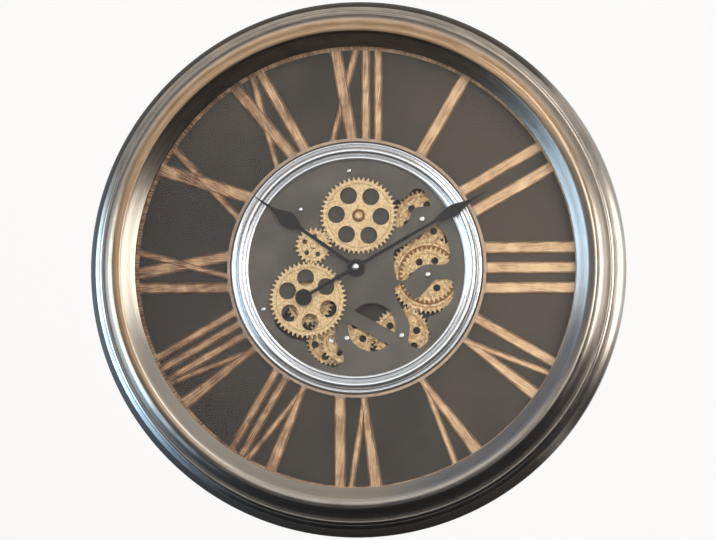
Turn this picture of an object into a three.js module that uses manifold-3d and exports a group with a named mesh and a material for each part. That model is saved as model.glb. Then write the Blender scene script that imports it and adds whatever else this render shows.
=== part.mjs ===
import * as THREE from 'three';
import { mergeVertices } from 'three/addons/utils/BufferGeometryUtils.js';
import Module from 'manifold-3d';

// Gear wall clock. Millimetres. Pieces are drawn as seen from the front: x to the right, y up,
// and z is the distance from the wall. One turn at the end stands the clock up with +Z upwards,
// its front towards -Y and its flat back on the plane y = 0, under the axis of the hands.

const wasm = await Module();
wasm.setup();

// Clearances
const seat = 0.3;             // between two faces that rest on each other
const running = 0.4;          // round a shaft in its hole

// Facets
const ringSides = 40;         // large rings
const smallSides = 8;         // shafts, screws and pins
const holeSides = 12;         // large holes in the wheels
const smallHoleSides = 8;
const bushSides = 16;         // the nested tubes of the hands

// Bezel moulding, from the glass outwards
const sightRadius = 219.5;    // bottom of the inner wall, at the glass
const wallFlare = 12;         // how far the inner wall leans out
const lipWidth = 12.5;        // from the inner edge of the lip to the crest
const coveWidth = 17;         // from the crest to the step
const bulgeWidth = 7;         // from the step to the widest point
const bulgeDepth = 26;
const stepDepth = 38.8;
const lipDepth = 70;
const crestRise = 2;          // of the crest over the inner edge of the lip
const bezelWall = 4;

// Rear cover and case drum
const coverThick = 3;
const drumInset = 18;         // from the widest point of the bezel to the drum
const drumWall = 3;
const ledgeWidth = 11;        // ledge in the drum that carries the cover
const ledgeThick = 3;
const flangeWidth = 8;        // flange round the drum that carries the bezel
const flangeThick = 3;
const flangeBack = 6.7;
const rimThick = 3.5;         // rear rim of the bezel, on the flange
const shelfInset = 6.5;       // from the sight radius to the shelf that carries the dial
const shelfThick = 3;

// Plates, from the back to the front
const baseBack = 22.5;
const baseThick = 1.5;
const baseInset = 2;          // from the opening of the dial to the base plate's edge
const layerGap = 2.3;         // base plate to the rear wheels
const wheelGap = 2;           // rear wheels to the middle wheels
const wheelThick = 2;
const dialBack = 33;
const dialThick = 2;
const dialMargin = 14;        // of the dial on its shelf
const gearPlateThick = 1.5;
const frontWheelGap = 1.5;    // gear plate to the front wheels

// Numeral frame
const numeralThick = 2.5;
const innerRingGap = 1;       // polished ring to the inner ring of the numerals
const innerRingWidth = 3;
const outerRingWidth = 2.2;
const outerRingHidden = 2.5;  // of the outer ring, behind the inner wall of the bezel

// Polished ring
const polishedInner = 107.5;
const polishedWidth = 18;
const polishedHeight = 7;
const plateUnderRing = 4.5;   // rim of the gear plate under the polished ring
const openingUnderRing = 1.5; // the dial reaches this far inside the polished ring

// Glass
const glassGap = 5.2;         // minute hand to the back of the glass
const glassThick = 3;
const glassMargin = 8.5;      // of the glass behind the inner wall
const spacerMargin = 3;       // from the sight radius to the spacer
const spacerWall = 3;
const gasketThick = 0.8;

// Gear train
const frontModule = 1.55;
const rearModule = 1.5;
const bigTeeth = 48;
const idlerTeeth = 22;
const wheelHoleRadius = 8.5;
const wheelHolePitch = 22.3;
const rearHoleRadius = 3.6;
const rearHolePitch = 15.6;
const shaftRadius = 1.6;
const studRadius = 2;
const pinHeadRadius = 2.4;
const pinHeadThick = 1.1;
const hubRadius = 3.8;
const hubSeatRadius = 6.5;
const hubHeight = 2.2;
const motorRadius = 12;
const motorLength = 16;

// Time train and hands
const handThick = 0.8;
const hourHandDepth = 44;
const handGap = 2.2;          // hour hand to minute hand
const bushRadius = 4.6;
const bushBore = 3.4;
const tubeRadius = 3;
const tubeBore = 2;
const minuteArborRadius = 1.6;
const washerRadius = 9;
const washerThick = 0.8;
const nutRadius = 7;
const nutThick = 1.8;
const hourHubRadius = 7.5;
const minuteHubRadius = 6;
const capRadius = 3.5;
const capHeight = 2;
const movementSide = 56;
const movementThick = 15;
const knobOffset = 19;        // below the axis of the hands
const knobRadius = 8;
const knobThick = 4;
const knobHoleRadius = 11;

// Batteries
const cellRadius = 7;
const cellLength = 50;
const cellGap = 0.6;
const holderWall = 1.8;
const holderDrop = 75;        // centre of the holder, below the axis of the hands
const holderDepth = 18;
const leadRadius = 0.9;
const leadBehind = 7.5;       // from the base plate back to the leads
const leadClear = 10;         // of the long lead beside the movement

// Hanger and fasteners
const hangerInsetTop = 45;    // from the edge of the drum to the hanger's centre
const hangerWide = 60;
const hangerTall = 40;
const hangerThick = 1.3;
const hangerInset = 0.2;
const screwHeadRadius = 3.4;
const screwRadius = 1.5;
const screwHeadThick = 1.2;

// Radii that follow, from the glass outwards and from the polished ring
const lipInnerRadius = sightRadius + wallFlare;
const crestRadius = lipInnerRadius + lipWidth;
const stepRadius = crestRadius + coveWidth;
const bulgeRadius = stepRadius + bulgeWidth;
const drumRadius = bulgeRadius - drumInset;
const glassRadius = sightRadius + glassMargin;
const spacerInner = sightRadius + spacerMargin;
const shelfRadius = sightRadius + shelfInset;
const dialRadius = shelfRadius + dialMargin;
const outerRingTo = sightRadius + outerRingHidden;
const outerRingFrom = outerRingTo - outerRingWidth;
const polishedOuter = polishedInner + polishedWidth;
const innerRingFrom = polishedOuter + innerRingGap;
const innerRingTo = innerRingFrom + innerRingWidth;
const gearPlateRadius = polishedInner + plateUnderRing;
const dialOpening = polishedInner - openingUnderRing;
const baseRadius = dialOpening - baseInset;
const hangerHeight = drumRadius - hangerInsetTop;
const holderHeight = -holderDrop;
const footRadius = innerRingTo + 5.5;      // where the letters' inner widths are measured
const headRadius = outerRingFrom - 9.8;    // where their outer widths are measured

// Depths that follow from the stack
const baseFront = baseBack + baseThick;
const rearWheelBack = baseFront + layerGap;
const rearWheelFront = rearWheelBack + wheelThick;
const midWheelBack = rearWheelFront + wheelGap;
const midWheelFront = midWheelBack + wheelThick;
const dialFront = dialBack + dialThick;
const gearPlateBack = dialFront + seat;
const gearPlateFront = gearPlateBack + gearPlateThick;
const frontWheelBack = gearPlateFront + frontWheelGap;
const frontWheelFront = frontWheelBack + wheelThick;
const minuteHandDepth = hourHandDepth + handThick + handGap;
const glassBack = minuteHandDepth + handThick + glassGap;
const glassFront = glassBack + glassThick;
const ledgeDepth = glassFront + seat;
const crestDepth = lipDepth + crestRise;

// Geometry helpers

function clean(geometry) {
  let shape = geometry.index ? geometry : mergeVertices(geometry);
  shape.deleteAttribute('normal');
  shape.deleteAttribute('uv');
  shape = mergeVertices(shape, 1e-4);
  const kept = [];
  const index = shape.index.array;
  const at = shape.attributes.position;
  const a = new THREE.Vector3();
  const b = new THREE.Vector3();
  const c = new THREE.Vector3();
  let volume = 0;
  for (let i = 0; i < index.length; i += 3) {
    const [p, q, r] = [index[i], index[i + 1], index[i + 2]];
    if (p === q || q === r || r === p) continue;
    kept.push([p, q, r]);
    a.fromBufferAttribute(at, p);
    b.fromBufferAttribute(at, q);
    c.fromBufferAttribute(at, r);
    volume += a.dot(b.cross(c));
  }
  const facing = volume < 0 ? kept.map(([p, q, r]) => [p, r, q]) : kept;
  shape.setIndex(facing.flat());
  return shape;
}

function toSolid(geometry) {
  const shape = clean(geometry);
  const vertProperties = new Float32Array(shape.attributes.position.array);
  const triVerts = new Uint32Array(shape.index.array);
  return new wasm.Manifold(new wasm.Mesh({ numProp: 3, vertProperties, triVerts }));
}

function toGeometry(solid) {
  const mesh = solid.getMesh();
  const geometry = new THREE.BufferGeometry();
  geometry.setAttribute('position', new THREE.BufferAttribute(new Float32Array(mesh.vertProperties), 3));
  geometry.setIndex(new THREE.BufferAttribute(new Uint32Array(mesh.triVerts), 1));
  return geometry;
}

function cut(geometry, tools) {
  const body = tools.reduce((solid, tool) => solid.subtract(toSolid(tool)), toSolid(geometry));
  return toGeometry(body);
}

function fuse(geometries) {
  const [first, ...others] = geometries.map(toSolid);
  return toGeometry(others.reduce((solid, other) => solid.add(other), first));
}

// A turned piece: a profile of [radius, depth] points round the depth axis.
function turned(profile, sides = smallSides, x = 0, y = 0) {
  const points = profile.map(([radius, depth]) => new THREE.Vector2(radius, depth));
  const geometry = new THREE.LatheGeometry(points, sides);
  return clean(geometry.rotateX(Math.PI / 2).translate(x, y, 0));
}

function tube(inner, outer, back, front, sides = ringSides) {
  return turned([[inner, back], [outer, back], [outer, front], [inner, front], [inner, back]], sides);
}

function rod(radius, back, front, x = 0, y = 0, sides = smallSides) {
  return turned([[0, back], [radius, back], [radius, front], [0, front]], sides, x, y);
}

function circlePoints(radius, x = 0, y = 0, sides = smallSides) {
  return Array.from({ length: sides }, (unused, i) => {
    const angle = (2 * Math.PI * i) / sides;
    return new THREE.Vector2(x + radius * Math.cos(angle), y + radius * Math.sin(angle));
  });
}

// A flat piece: an outline with holes, from one depth to another.
function flat(outline, holes, back, front) {
  const shape = new THREE.Shape(outline);
  for (const hole of holes) shape.holes.push(new THREE.Path(hole));
  const geometry = new THREE.ExtrudeGeometry(shape, { depth: front - back, bevelEnabled: false });
  return clean(geometry.translate(0, 0, back));
}

// A round plate with holes cut right through it.
function pierced(radius, holes, back, front) {
  const blank = flat(circlePoints(radius, 0, 0, ringSides), [], back, front);
  return cut(blank, holes.map((hole) => flat(hole, [], back - 1, front + 1)));
}

function points(pairs) {
  return pairs.map(([x, y]) => new THREE.Vector2(x, y));
}

function roundedBox(wide, tall, radius, x = 0, y = 0, back = 0, front = 1) {
  const corner = [[1, 1], [-1, 1], [-1, -1], [1, -1]];
  const outline = corner.flatMap(([sx, sy], quarter) => [0, 1, 2].map((step) => {
    const angle = (quarter + step / 2) * (Math.PI / 2);
    return new THREE.Vector2(
      x + sx * (wide / 2 - radius) + radius * Math.cos(angle),
      y + sy * (tall / 2 - radius) + radius * Math.sin(angle));
  }));
  return flat(outline, [], back, front);
}

function polar(radius, degrees) {
  const angle = THREE.MathUtils.degToRad(degrees);
  return [radius * Math.cos(angle), radius * Math.sin(angle)];
}

function around(count, radius, startDegrees) {
  return Array.from({ length: count }, (unused, i) => polar(radius, startDegrees + (360 * i) / count));
}

// Scene graph

const clock = new THREE.Group();
clock.rotation.x = Math.PI / 2;

const colours = {
  bezel: [0x5b5148, 0.38, 0.85],
  blackCase: [0x1d1c1c, 0.6, 0.0],
  dial: [0x595149, 0.5, 0.1],
  centre: [0x726a63, 0.45, 0.2],
  copper: [0xb98559, 0.42, 0.8],
  polished: [0xe2e4e6, 0.1, 1.0],
  brass: [0xd9b57c, 0.35, 0.85],
  steel: [0xc4c6c8, 0.3, 0.9],
  black: [0x101011, 0.4, 0.1],
  glass: [0xf2f6f6, 0.05, 0.0],
  rubber: [0x1a1a1a, 0.8, 0.0],
  redLead: [0xb03028, 0.5, 0.0],
  cell: [0x3a6a48, 0.4, 0.2],
};

function add(name, geometry, colour, placed = [0, 0]) {
  const [color, roughness, metalness] = colours[colour];
  const material = new THREE.MeshStandardMaterial({ color, roughness, metalness });
  if (colour === 'glass') {
    material.transparent = true;
    material.opacity = 0.25;
  }
  const mesh = new THREE.Mesh(geometry, material);
  mesh.name = name;
  mesh.position.set(placed[0], placed[1], 0);
  clock.add(mesh);
}

// Toothed wheels

const toothRoot = 0.34;       // half width of a pointed tooth at its root, as a share of its pitch
const addendum = 0.95;
const dedendum = 1.15;

function pitchRadius(teeth, module) {
  return (teeth * module) / 2;
}

function wheelOutline(teeth, module, phase) {
  const root = pitchRadius(teeth, module) - dedendum * module;
  const tip = pitchRadius(teeth, module) + addendum * module;
  const pitch = (2 * Math.PI) / teeth;
  const corners = [[root, -toothRoot], [tip, 0], [root, toothRoot]];
  return Array.from({ length: teeth }, (unused, tooth) => corners.map(([radius, share]) => {
    const angle = phase + (tooth + share) * pitch;
    return new THREE.Vector2(radius * Math.cos(angle), radius * Math.sin(angle));
  })).flat();
}

function wheel(gear, back, holeRadius, holePitch, holeCount, firstHole, bore) {
  const holes = around(holeCount, holePitch, firstHole)
    .map(([x, y]) => circlePoints(holeRadius, x, y, holeRadius > 5 ? holeSides : smallHoleSides));
  holes.push(circlePoints(bore, 0, 0));
  return flat(wheelOutline(gear.teeth, gear.module, gear.phase), holes, back, back + wheelThick);
}

// The angle of a wheel's first tooth, so that it meshes with the wheel that drives it.
function meshed(driver, centre, teeth) {
  const line = Math.atan2(centre[1] - driver.centre[1], centre[0] - driver.centre[0]);
  const driverTeeth = (driver.teeth * (line - driver.phase)) / (2 * Math.PI);
  return line + Math.PI - ((0.5 - driverTeeth) * 2 * Math.PI) / teeth;
}

function drivenWheel(driver, centre, teeth) {
  return { centre, teeth, module: driver.module, phase: meshed(driver, centre, teeth) };
}

// The centre at given pitch distances from two fixed centres, on the left of the way between them.
function between(first, second, firstDistance, secondDistance) {
  const dx = second[0] - first[0];
  const dy = second[1] - first[1];
  const span = Math.hypot(dx, dy);
  const along = (firstDistance ** 2 - secondDistance ** 2 + span ** 2) / (2 * span);
  const aside = Math.sqrt(Math.max(firstDistance ** 2 - along ** 2, 0));
  return [
    first[0] + (dx * along + dy * aside) / span,
    first[1] + (dy * along - dx * aside) / span,
  ];
}

// A centre that meshes with a driver, in a given direction from it.
function meshedCentre(driver, teeth, degrees) {
  const distance = pitchRadius(driver.teeth, driver.module) + pitchRadius(teeth, driver.module);
  const [x, y] = polar(distance, degrees);
  return [driver.centre[0] + x, driver.centre[1] + y];
}

const upperCentre = [2.3, 52];
const lowerCentre = [-48.4, -31.9];
const upper = { centre: upperCentre, teeth: bigTeeth, module: frontModule, phase: 0 };
const idlerReach = pitchRadius(bigTeeth, frontModule) + pitchRadius(idlerTeeth, frontModule);
const idler = drivenWheel(upper, between(upperCentre, lowerCentre, idlerReach, idlerReach), idlerTeeth);
const lower = drivenWheel(idler, lowerCentre, bigTeeth);

const upperRear = { centre: upperCentre, teeth: 46, module: rearModule, phase: 0 };
const lowerRear = { centre: lowerCentre, teeth: 31, module: rearModule, phase: 0 };
const rightUpper = drivenWheel(upperRear, meshedCentre(upperRear, 38, -3.6), 38);
const rightSmall = drivenWheel(rightUpper, meshedCentre(rightUpper, 36, -84.1), 36);
const rightBig = { centre: rightSmall.centre, teeth: 50, module: rearModule, phase: 0 };
const lowerRight = drivenWheel(rightBig, meshedCentre(rightBig, 38, -113.2), 38);
const bottom = drivenWheel(lowerRight, meshedCentre(lowerRight, 35, -177.3), 35);
const lowerLeft = drivenWheel(lowerRear, meshedCentre(lowerRear, 31, -62.5), 31);
const pinion = drivenWheel(upperRear, meshedCentre(upperRear, 12, 130), 12);

// Case

function bezelMoulding() {
  const outerFace = [
    [bulgeRadius - 3.5, bulgeDepth - 12.5], [bulgeRadius - 0.6, bulgeDepth - 7], [bulgeRadius, bulgeDepth],
    [bulgeRadius - 1.4, bulgeDepth + 7], [stepRadius + 1.6, stepDepth - 0.6], [stepRadius, stepDepth],
    [stepRadius - 1, stepDepth + 5.2], [stepRadius - 4.5, stepDepth + 8],
    [stepRadius - 6.2, stepDepth + 10.2], [stepRadius - 8.6, stepDepth + 10.6],
    [crestRadius + 5, crestDepth - 19.5], [crestRadius + 2.2, crestDepth - 12],
    [crestRadius + 1.2, crestDepth - 4.5], [crestRadius, crestDepth - 0.8], [crestRadius - 2, crestDepth],
    [crestRadius - 10, lipDepth + 1.2], [lipInnerRadius, lipDepth], [sightRadius, ledgeDepth],
  ];
  const rimBack = flangeBack + flangeThick + seat;
  const rimFront = rimBack + rimThick;
  const innerFace = [
    [glassRadius + 1, ledgeDepth], [glassRadius + 1, ledgeDepth + 2.6],
    [lipInnerRadius + 3, lipDepth - bezelWall], [crestRadius - 4.5, lipDepth - bezelWall + 1],
    [crestRadius - 2.2, crestDepth - 18.5], [crestRadius + 4, stepDepth + 6.4],
    [stepRadius - 6, stepDepth + 2.2], [bulgeRadius - bezelWall, bulgeDepth],
    [bulgeRadius - bezelWall - 2, bulgeDepth - 8.5], [drumRadius + 4, rimFront],
    [drumRadius + 2, rimFront], [drumRadius + 2, rimBack], [bulgeRadius - 10, rimBack],
  ];
  return turned([...outerFace, ...innerFace, outerFace[0]], ringSides);
}

const rivetAside = hangerWide / 2 - 6;
const coverScrewPlaces = around(4, drumRadius - drumWall - ledgeWidth / 2, 45);
const coverRadius = drumRadius - drumWall - seat;

function caseDrum() {
  const ledgeBack = coverThick + seat;
  const innerRadius = drumRadius - drumWall;
  const shelfFront = dialBack - seat;
  const profile = [
    [innerRadius, 0], [drumRadius, 0], [drumRadius, flangeBack], [drumRadius + flangeWidth, flangeBack],
    [drumRadius + flangeWidth, flangeBack + flangeThick], [drumRadius, flangeBack + flangeThick],
    [drumRadius, shelfFront], [shelfRadius, shelfFront], [shelfRadius, shelfFront - shelfThick],
    [innerRadius, shelfFront - shelfThick], [innerRadius, ledgeBack + ledgeThick],
    [innerRadius - ledgeWidth, ledgeBack + ledgeThick], [innerRadius - ledgeWidth, ledgeBack],
    [innerRadius, ledgeBack], [innerRadius, 0],
  ];
  const holes = coverScrewPlaces.map(([x, y]) =>
    rod(screwRadius + seat, ledgeBack - 1, ledgeBack + ledgeThick + 1, x, y, 8));
  return cut(turned(profile, ringSides), holes);
}

function rearCover() {
  const blank = flat(circlePoints(coverRadius, 0, 0, ringSides), [], 0, coverThick);
  const counterbore = screwHeadThick + hangerInset + seat;
  const holes = coverScrewPlaces.flatMap(([x, y]) => [
    rod(screwHeadRadius + seat, -1, counterbore, x, y, 10),
    rod(screwRadius + seat, -1, coverThick + 1, x, y, 8),
  ]);
  const pocket = hangerThick + hangerInset + seat;
  holes.push(roundedBox(hangerWide + 2 * seat, hangerTall + 2 * seat, 3, 0, hangerHeight, -1, pocket));
  holes.push(roundedBox(hangerWide - 28, hangerTall - 12, 3, 0, hangerHeight, -1, coverThick + 1));
  holes.push(rod(knobHoleRadius, -1, coverThick + 1, 0, -knobOffset, 24));
  holes.push(roundedBox(cellLength - 4, 2 * cellRadius * 2 - 4, 3, 0, holderHeight, -1, coverThick + 1));
  for (const side of [-1, 1]) {
    holes.push(rod(screwRadius + seat, -1, coverThick + 1, side * rivetAside, hangerHeight, 8));
  }
  return cut(blank, holes);
}

function coverScrew([x, y]) {
  const headFront = hangerInset + screwHeadThick;
  const tip = coverThick + seat + ledgeThick + 1;
  return turned([[0, hangerInset], [screwHeadRadius, hangerInset], [screwHeadRadius, headFront],
    [screwRadius, headFront], [screwRadius, tip], [0, tip]], 10, x, y);
}

add('bezel_moulding', bezelMoulding(), 'bezel');
add('case_drum', caseDrum(), 'blackCase');
add('rear_cover', rearCover(), 'blackCase');
coverScrewPlaces.forEach((place, i) => {
  add(`rear_cover_screw_${i + 1}`, coverScrew(place), 'steel');
});

// Hanger: a steel plate in a pocket of the cover, with a keyhole slot for a screw head and two
// rivets drawn from the plate that close behind the cover.
const keyholeRadius = 5.5;
const slotRadius = 2.8;
const slotLength = 11;

function keyholeOutline() {
  const join = Math.asin(slotRadius / keyholeRadius);
  const low = hangerHeight - slotLength / 2;
  const high = hangerHeight + slotLength / 2;
  const large = Array.from({ length: 13 }, (unused, i) => {
    const angle = Math.PI / 2 + join + ((2 * Math.PI - 2 * join) * i) / 12;
    return new THREE.Vector2(keyholeRadius * Math.cos(angle), low + keyholeRadius * Math.sin(angle));
  });
  const small = Array.from({ length: 7 }, (unused, i) => {
    const angle = (Math.PI * i) / 6;
    return new THREE.Vector2(slotRadius * Math.cos(angle), high + slotRadius * Math.sin(angle));
  });
  return [...large, ...small];
}

function hangerPlate() {
  const blank = roundedBox(hangerWide, hangerTall, 3, 0, hangerHeight, hangerInset, hangerInset + hangerThick);
  const keyhole = flat(keyholeOutline(), [], -1, coverThick);
  const rivets = [-1, 1].map((side) => turned([
    [0, hangerInset + hangerThick / 2], [screwRadius, hangerInset + hangerThick / 2],
    [screwRadius, coverThick + seat], [screwHeadRadius, coverThick + seat],
    [screwHeadRadius, coverThick + seat + 1], [0, coverThick + seat + 1],
  ], 10, side * rivetAside, hangerHeight));
  return cut(fuse([blank, ...rivets]), [keyhole]);
}

add('keyhole_hanger', hangerPlate(), 'steel');

// Glass and what holds it
const gasketBack = glassBack - seat - gasketThick;
add('front_glass', rod(glassRadius, glassBack, glassFront, 0, 0, ringSides), 'glass');
add('glass_gasket', tube(spacerInner, spacerInner + spacerWall, gasketBack, glassBack - seat), 'rubber');
add('dial_spacer', tube(spacerInner, spacerInner + spacerWall, dialFront + seat, gasketBack - seat), 'blackCase');

// Dial
const pillarPlaces = [[-7.5, 97], [-56, 58.5], [-93, -41], [84, -52]];
const shownPillars = 3;       // the first ones reach through the gear plate

add('dial_plate', pierced(dialRadius, [
  circlePoints(dialOpening, 0, 0, ringSides),
], dialBack, dialFront), 'dial');

// Numerals: letters that spread outwards like rays between two rings. A letter is a list of
// strokes, each with its two edges at the inner ring and at the outer ring.
function barLetter(centre, width) {
  return [[centre - width / 2, centre + width / 2, centre - width / 2, centre + width / 2]];
}

function veeLetter(centre, flip = 1) {
  const stroke = (a, b, c, d) => (flip > 0
    ? [centre + a, centre + b, centre + c, centre + d]
    : [centre - b, centre - a, centre - d, centre - c]);
  return [stroke(-2.5, 2.9, -15.8, -4.8), stroke(-1.5, 2.9, 9.6, 14.7)];
}

function crossLetter(centre, spread) {
  const stroke = (...edges) => edges.map((edge) => centre + edge * spread);
  return [stroke(2, 13.7, -13.3, -3.6), stroke(-14.3, -9.9, 8, 13.3)];
}

const numerals = [
  [...crossLetter(-12.5, 0.85), ...barLetter(9.1, 7.2), ...barLetter(21.5, 7)],
  [...barLetter(-0.9, 10.6)],
  [...barLetter(-13, 10), ...barLetter(10.9, 10.6)],
  [...barLetter(-19.4, 10.2), ...barLetter(0.7, 10), ...barLetter(20.7, 10)],
  [...barLetter(-15.6, 9), ...veeLetter(9.6, -1)],
  [...veeLetter(-1)],
  [...veeLetter(-8), ...barLetter(16.6, 9.8)],
  [...veeLetter(-14.5), ...barLetter(6.5, 6.8), ...barLetter(18.3, 6.8)],
  [...veeLetter(-19), ...barLetter(-1.5, 6.8), ...barLetter(10.8, 6.8), ...barLetter(22.9, 6.8)],
  [...barLetter(-19.3, 9.5), ...crossLetter(4.4, 0.88)],
  [...crossLetter(-1.4, 1)],
  [...crossLetter(-6.6, 0.85), ...barLetter(14.3, 9.3)],
];

function strokeSolid([footFrom, footTo, headFrom, headTo], hour, back, front) {
  const turn = (hour * Math.PI) / 6;
  const from = (innerRingFrom + innerRingTo) / 2;
  const to = (outerRingFrom + outerRingTo) / 2;
  const corner = (radius, foot, head) => {
    const aside = foot + ((head - foot) * (radius - footRadius)) / (headRadius - footRadius);
    const along = Math.sqrt(radius ** 2 - aside ** 2);
    return [along * Math.sin(turn) + aside * Math.cos(turn),
      along * Math.cos(turn) - aside * Math.sin(turn)];
  };
  return flat(points([
    corner(from, footFrom, headFrom), corner(from, footTo, headTo),
    corner(to, footTo, headTo), corner(to, footFrom, headFrom),
  ]), [], back, front);
}

function numeralFrame() {
  const back = dialFront + seat;
  const front = back + numeralThick;
  const strokes = numerals.flatMap((letters, hour) =>
    letters.map((stroke) => strokeSolid(stroke, hour, back, front)));
  const inner = tube(innerRingFrom, innerRingTo, back, front);
  const outer = tube(outerRingFrom, outerRingTo, back, front);
  return fuse([inner, outer, ...strokes]);
}

add('numeral_frame', numeralFrame(), 'copper');

// Polished ring: it sits on the dial and clamps the rim of the gear plate.
function polishedRing() {
  const seatRadius = gearPlateRadius + 0.6;
  const low = gearPlateFront + seat;
  const base = dialFront + seat;
  const top = base + polishedHeight;
  return turned([
    [polishedInner, low], [seatRadius, low], [seatRadius, base], [polishedOuter, base],
    [polishedOuter, base + 2], [polishedOuter - 1.6, base + 3.6], [polishedOuter - 3.6, base + 2.8],
    [polishedOuter - 5.2, top - 1.6], [polishedOuter - 8.5, top], [polishedOuter - 12, top - 1.8],
    [polishedOuter - 13.2, base + 3.4], [polishedInner, base + 4],
    [polishedInner, low],
  ], ringSides);
}

add('chrome_ring', polishedRing(), 'polished');

// Gear plate with its windows, as seen from the front
const upperRightWindow = [[40, 40], [36, 55], [38, 66.5], [45, 67.5], [52, 72.5], [56.5, 78], [65, 78],
  [71.5, 70], [74, 61.5], [64, 60.5], [56, 58], [52, 47], [47, 42]];
const rightWindow = [[37.5, 2], [37.5, 16.5], [46, 21.5], [62, 31], [77, 42.5], [81, 42], [88, 33],
  [92, 22], [93, 8], [87, 3], [71, 3], [61, -0.5], [53.5, -8], [47.5, -12.5], [40, -11.5]];
const lowerRightWindow = [[37.5, -21.5], [46, -15.5], [50.5, -23], [56.5, -30.5], [63, -28.5], [71, -20],
  [80, -11.5], [94, -12.5], [97, -19], [95.5, -31], [88.5, -40], [78.5, -47], [71.5, -49.5], [70.5, -57],
  [72.5, -64], [71.5, -73], [62, -80.5], [51.5, -75], [53, -59.5], [48, -45], [41.5, -34]];
const lowerLeftWindow = [[-64, -29], [-58, -15.5], [-46, -12.5], [-37, -24], [-21, -29], [-17, -45],
  [-21, -60], [-21, -73.5], [-14.5, -82.5], [-13, -93], [-22, -99], [-33, -96], [-42, -90], [-48.5, -81.5],
  [-52, -73.5], [-66, -69.5], [-77, -61.5], [-82, -52.5], [-72, -45]];

const bottomWindowCentre = [15.2, -59.2];
const bottomWindowRadius = 24;
const bottomBarDegrees = -28.5; // slope of the bar across the round window
const bottomBarTop = 6;        // edges of the bar, seen from the window's centre
const bottomBarLow = -7.3;

function smoothOutline(corners) {
  const curve = new THREE.CatmullRomCurve3(corners.map(([x, y]) => new THREE.Vector3(x, y, 0)), true,
    'catmullrom', 0.4);
  const steps = Math.round(corners.length * 1.3);
  return curve.getPoints(steps).slice(0, -1).map(({ x, y }) => new THREE.Vector2(x, y));
}

function discSegment(edge, above) {
  const start = Math.asin(edge / bottomWindowRadius);
  const sweep = above ? Math.PI - 2 * start : -Math.PI - 2 * start;
  const tilt = THREE.MathUtils.degToRad(bottomBarDegrees);
  return Array.from({ length: 13 }, (unused, i) => {
    const angle = start + (sweep * i) / 12 + tilt;
    return new THREE.Vector2(
      bottomWindowCentre[0] + bottomWindowRadius * Math.cos(angle),
      bottomWindowCentre[1] + bottomWindowRadius * Math.sin(angle));
  });
}

function gearPlate() {
  const arborHoles = [upper, idler, rightUpper, rightBig, lowerRight, bottom]
    .map(({ centre }) => circlePoints(studRadius + running, centre[0], centre[1]));
  const pillarHoles = pillarPlaces.slice(0, shownPillars)
    .map(([x, y]) => circlePoints(screwRadius + seat, x, y, 8));
  return pierced(gearPlateRadius, [
    smoothOutline(upperRightWindow), smoothOutline(rightWindow), smoothOutline(lowerRightWindow),
    smoothOutline(lowerLeftWindow), discSegment(bottomBarTop, true), discSegment(bottomBarLow, false),
    circlePoints(bushRadius + seat, 0, 0, bushSides), ...arborHoles, ...pillarHoles,
  ], gearPlateBack, gearPlateFront);
}

add('gear_plate', gearPlate(), 'centre');

// Base plate and pillars
const pillarRadius = 3;

function basePlate() {
  const arborHoles = [upper, lower, rightUpper, rightBig, lowerRight, lowerLeft, pinion]
    .map(({ centre }) => circlePoints(shaftRadius + running, centre[0], centre[1]));
  const pillarHoles = pillarPlaces.map(([x, y]) => circlePoints(screwRadius + seat, x, y, 8));
  return pierced(baseRadius, [circlePoints(bushRadius + seat, 0, 0, bushSides), ...arborHoles, ...pillarHoles],
    baseBack, baseFront);
}

// A pillar is riveted into both plates; the front rivet head shows as a bright dot.
function pillar([x, y], index) {
  const front = gearPlateBack - seat;
  const head = gearPlateFront + seat;
  const profile = [[0, baseBack], [screwRadius, baseBack], [screwRadius, baseFront + seat],
    [pillarRadius, baseFront + seat], [pillarRadius, front]];
  if (index < shownPillars) {
    profile.push([screwRadius, front], [screwRadius, head], [pinHeadRadius, head],
      [pinHeadRadius, head + pinHeadThick], [0, head + pinHeadThick]);
  } else {
    profile.push([0, front]);
  }
  return turned(profile, smallSides, x, y);
}

add('base_plate', basePlate(), 'brass');
pillarPlaces.forEach((place, i) => {
  add(`plate_pillar_${i + 1}`, pillar(place, i), 'steel');
});

// Arbors turn with their wheels. Their front ends show as small bright heads on the gear plate.
function arbor(gear, back, headBack, headRadius, headThick, radius = shaftRadius) {
  return turned([[0, back], [radius, back], [radius, headBack], [headRadius, headBack],
    [headRadius, headBack + headThick], [0, headBack + headThick]], smallSides, gear.centre[0], gear.centre[1]);
}

const arborBack = baseBack - 1;
const arborBore = shaftRadius + seat;
const studBore = studRadius + running;

add('upper_gear', wheel(upper, frontWheelBack, wheelHoleRadius, wheelHolePitch, 6, -3, arborBore),
  'brass', upper.centre);
add('upper_rear_wheel', wheel(upperRear, rearWheelBack, rearHoleRadius, rearHolePitch, 0, 0, arborBore),
  'brass', upper.centre);
add('upper_arbor', arbor(upper, arborBack, frontWheelFront + seat, hubRadius, hubHeight), 'brass');
add('upper_hub_washer', turned([[hubRadius + seat, frontWheelFront + seat],
  [hubSeatRadius, frontWheelFront + seat], [hubSeatRadius, frontWheelFront + seat + 0.8],
  [hubRadius + seat, frontWheelFront + seat + 0.8], [hubRadius + seat, frontWheelFront + seat]], 16,
upper.centre[0], upper.centre[1]), 'steel');

add('idler_gear', wheel(idler, frontWheelBack, 2.4, 9.5, 5, 10, studBore), 'brass', idler.centre);
add('idler_stud', arbor(idler, gearPlateBack, frontWheelFront + seat, pinHeadRadius + 1, pinHeadThick,
  studRadius), 'brass');

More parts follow.
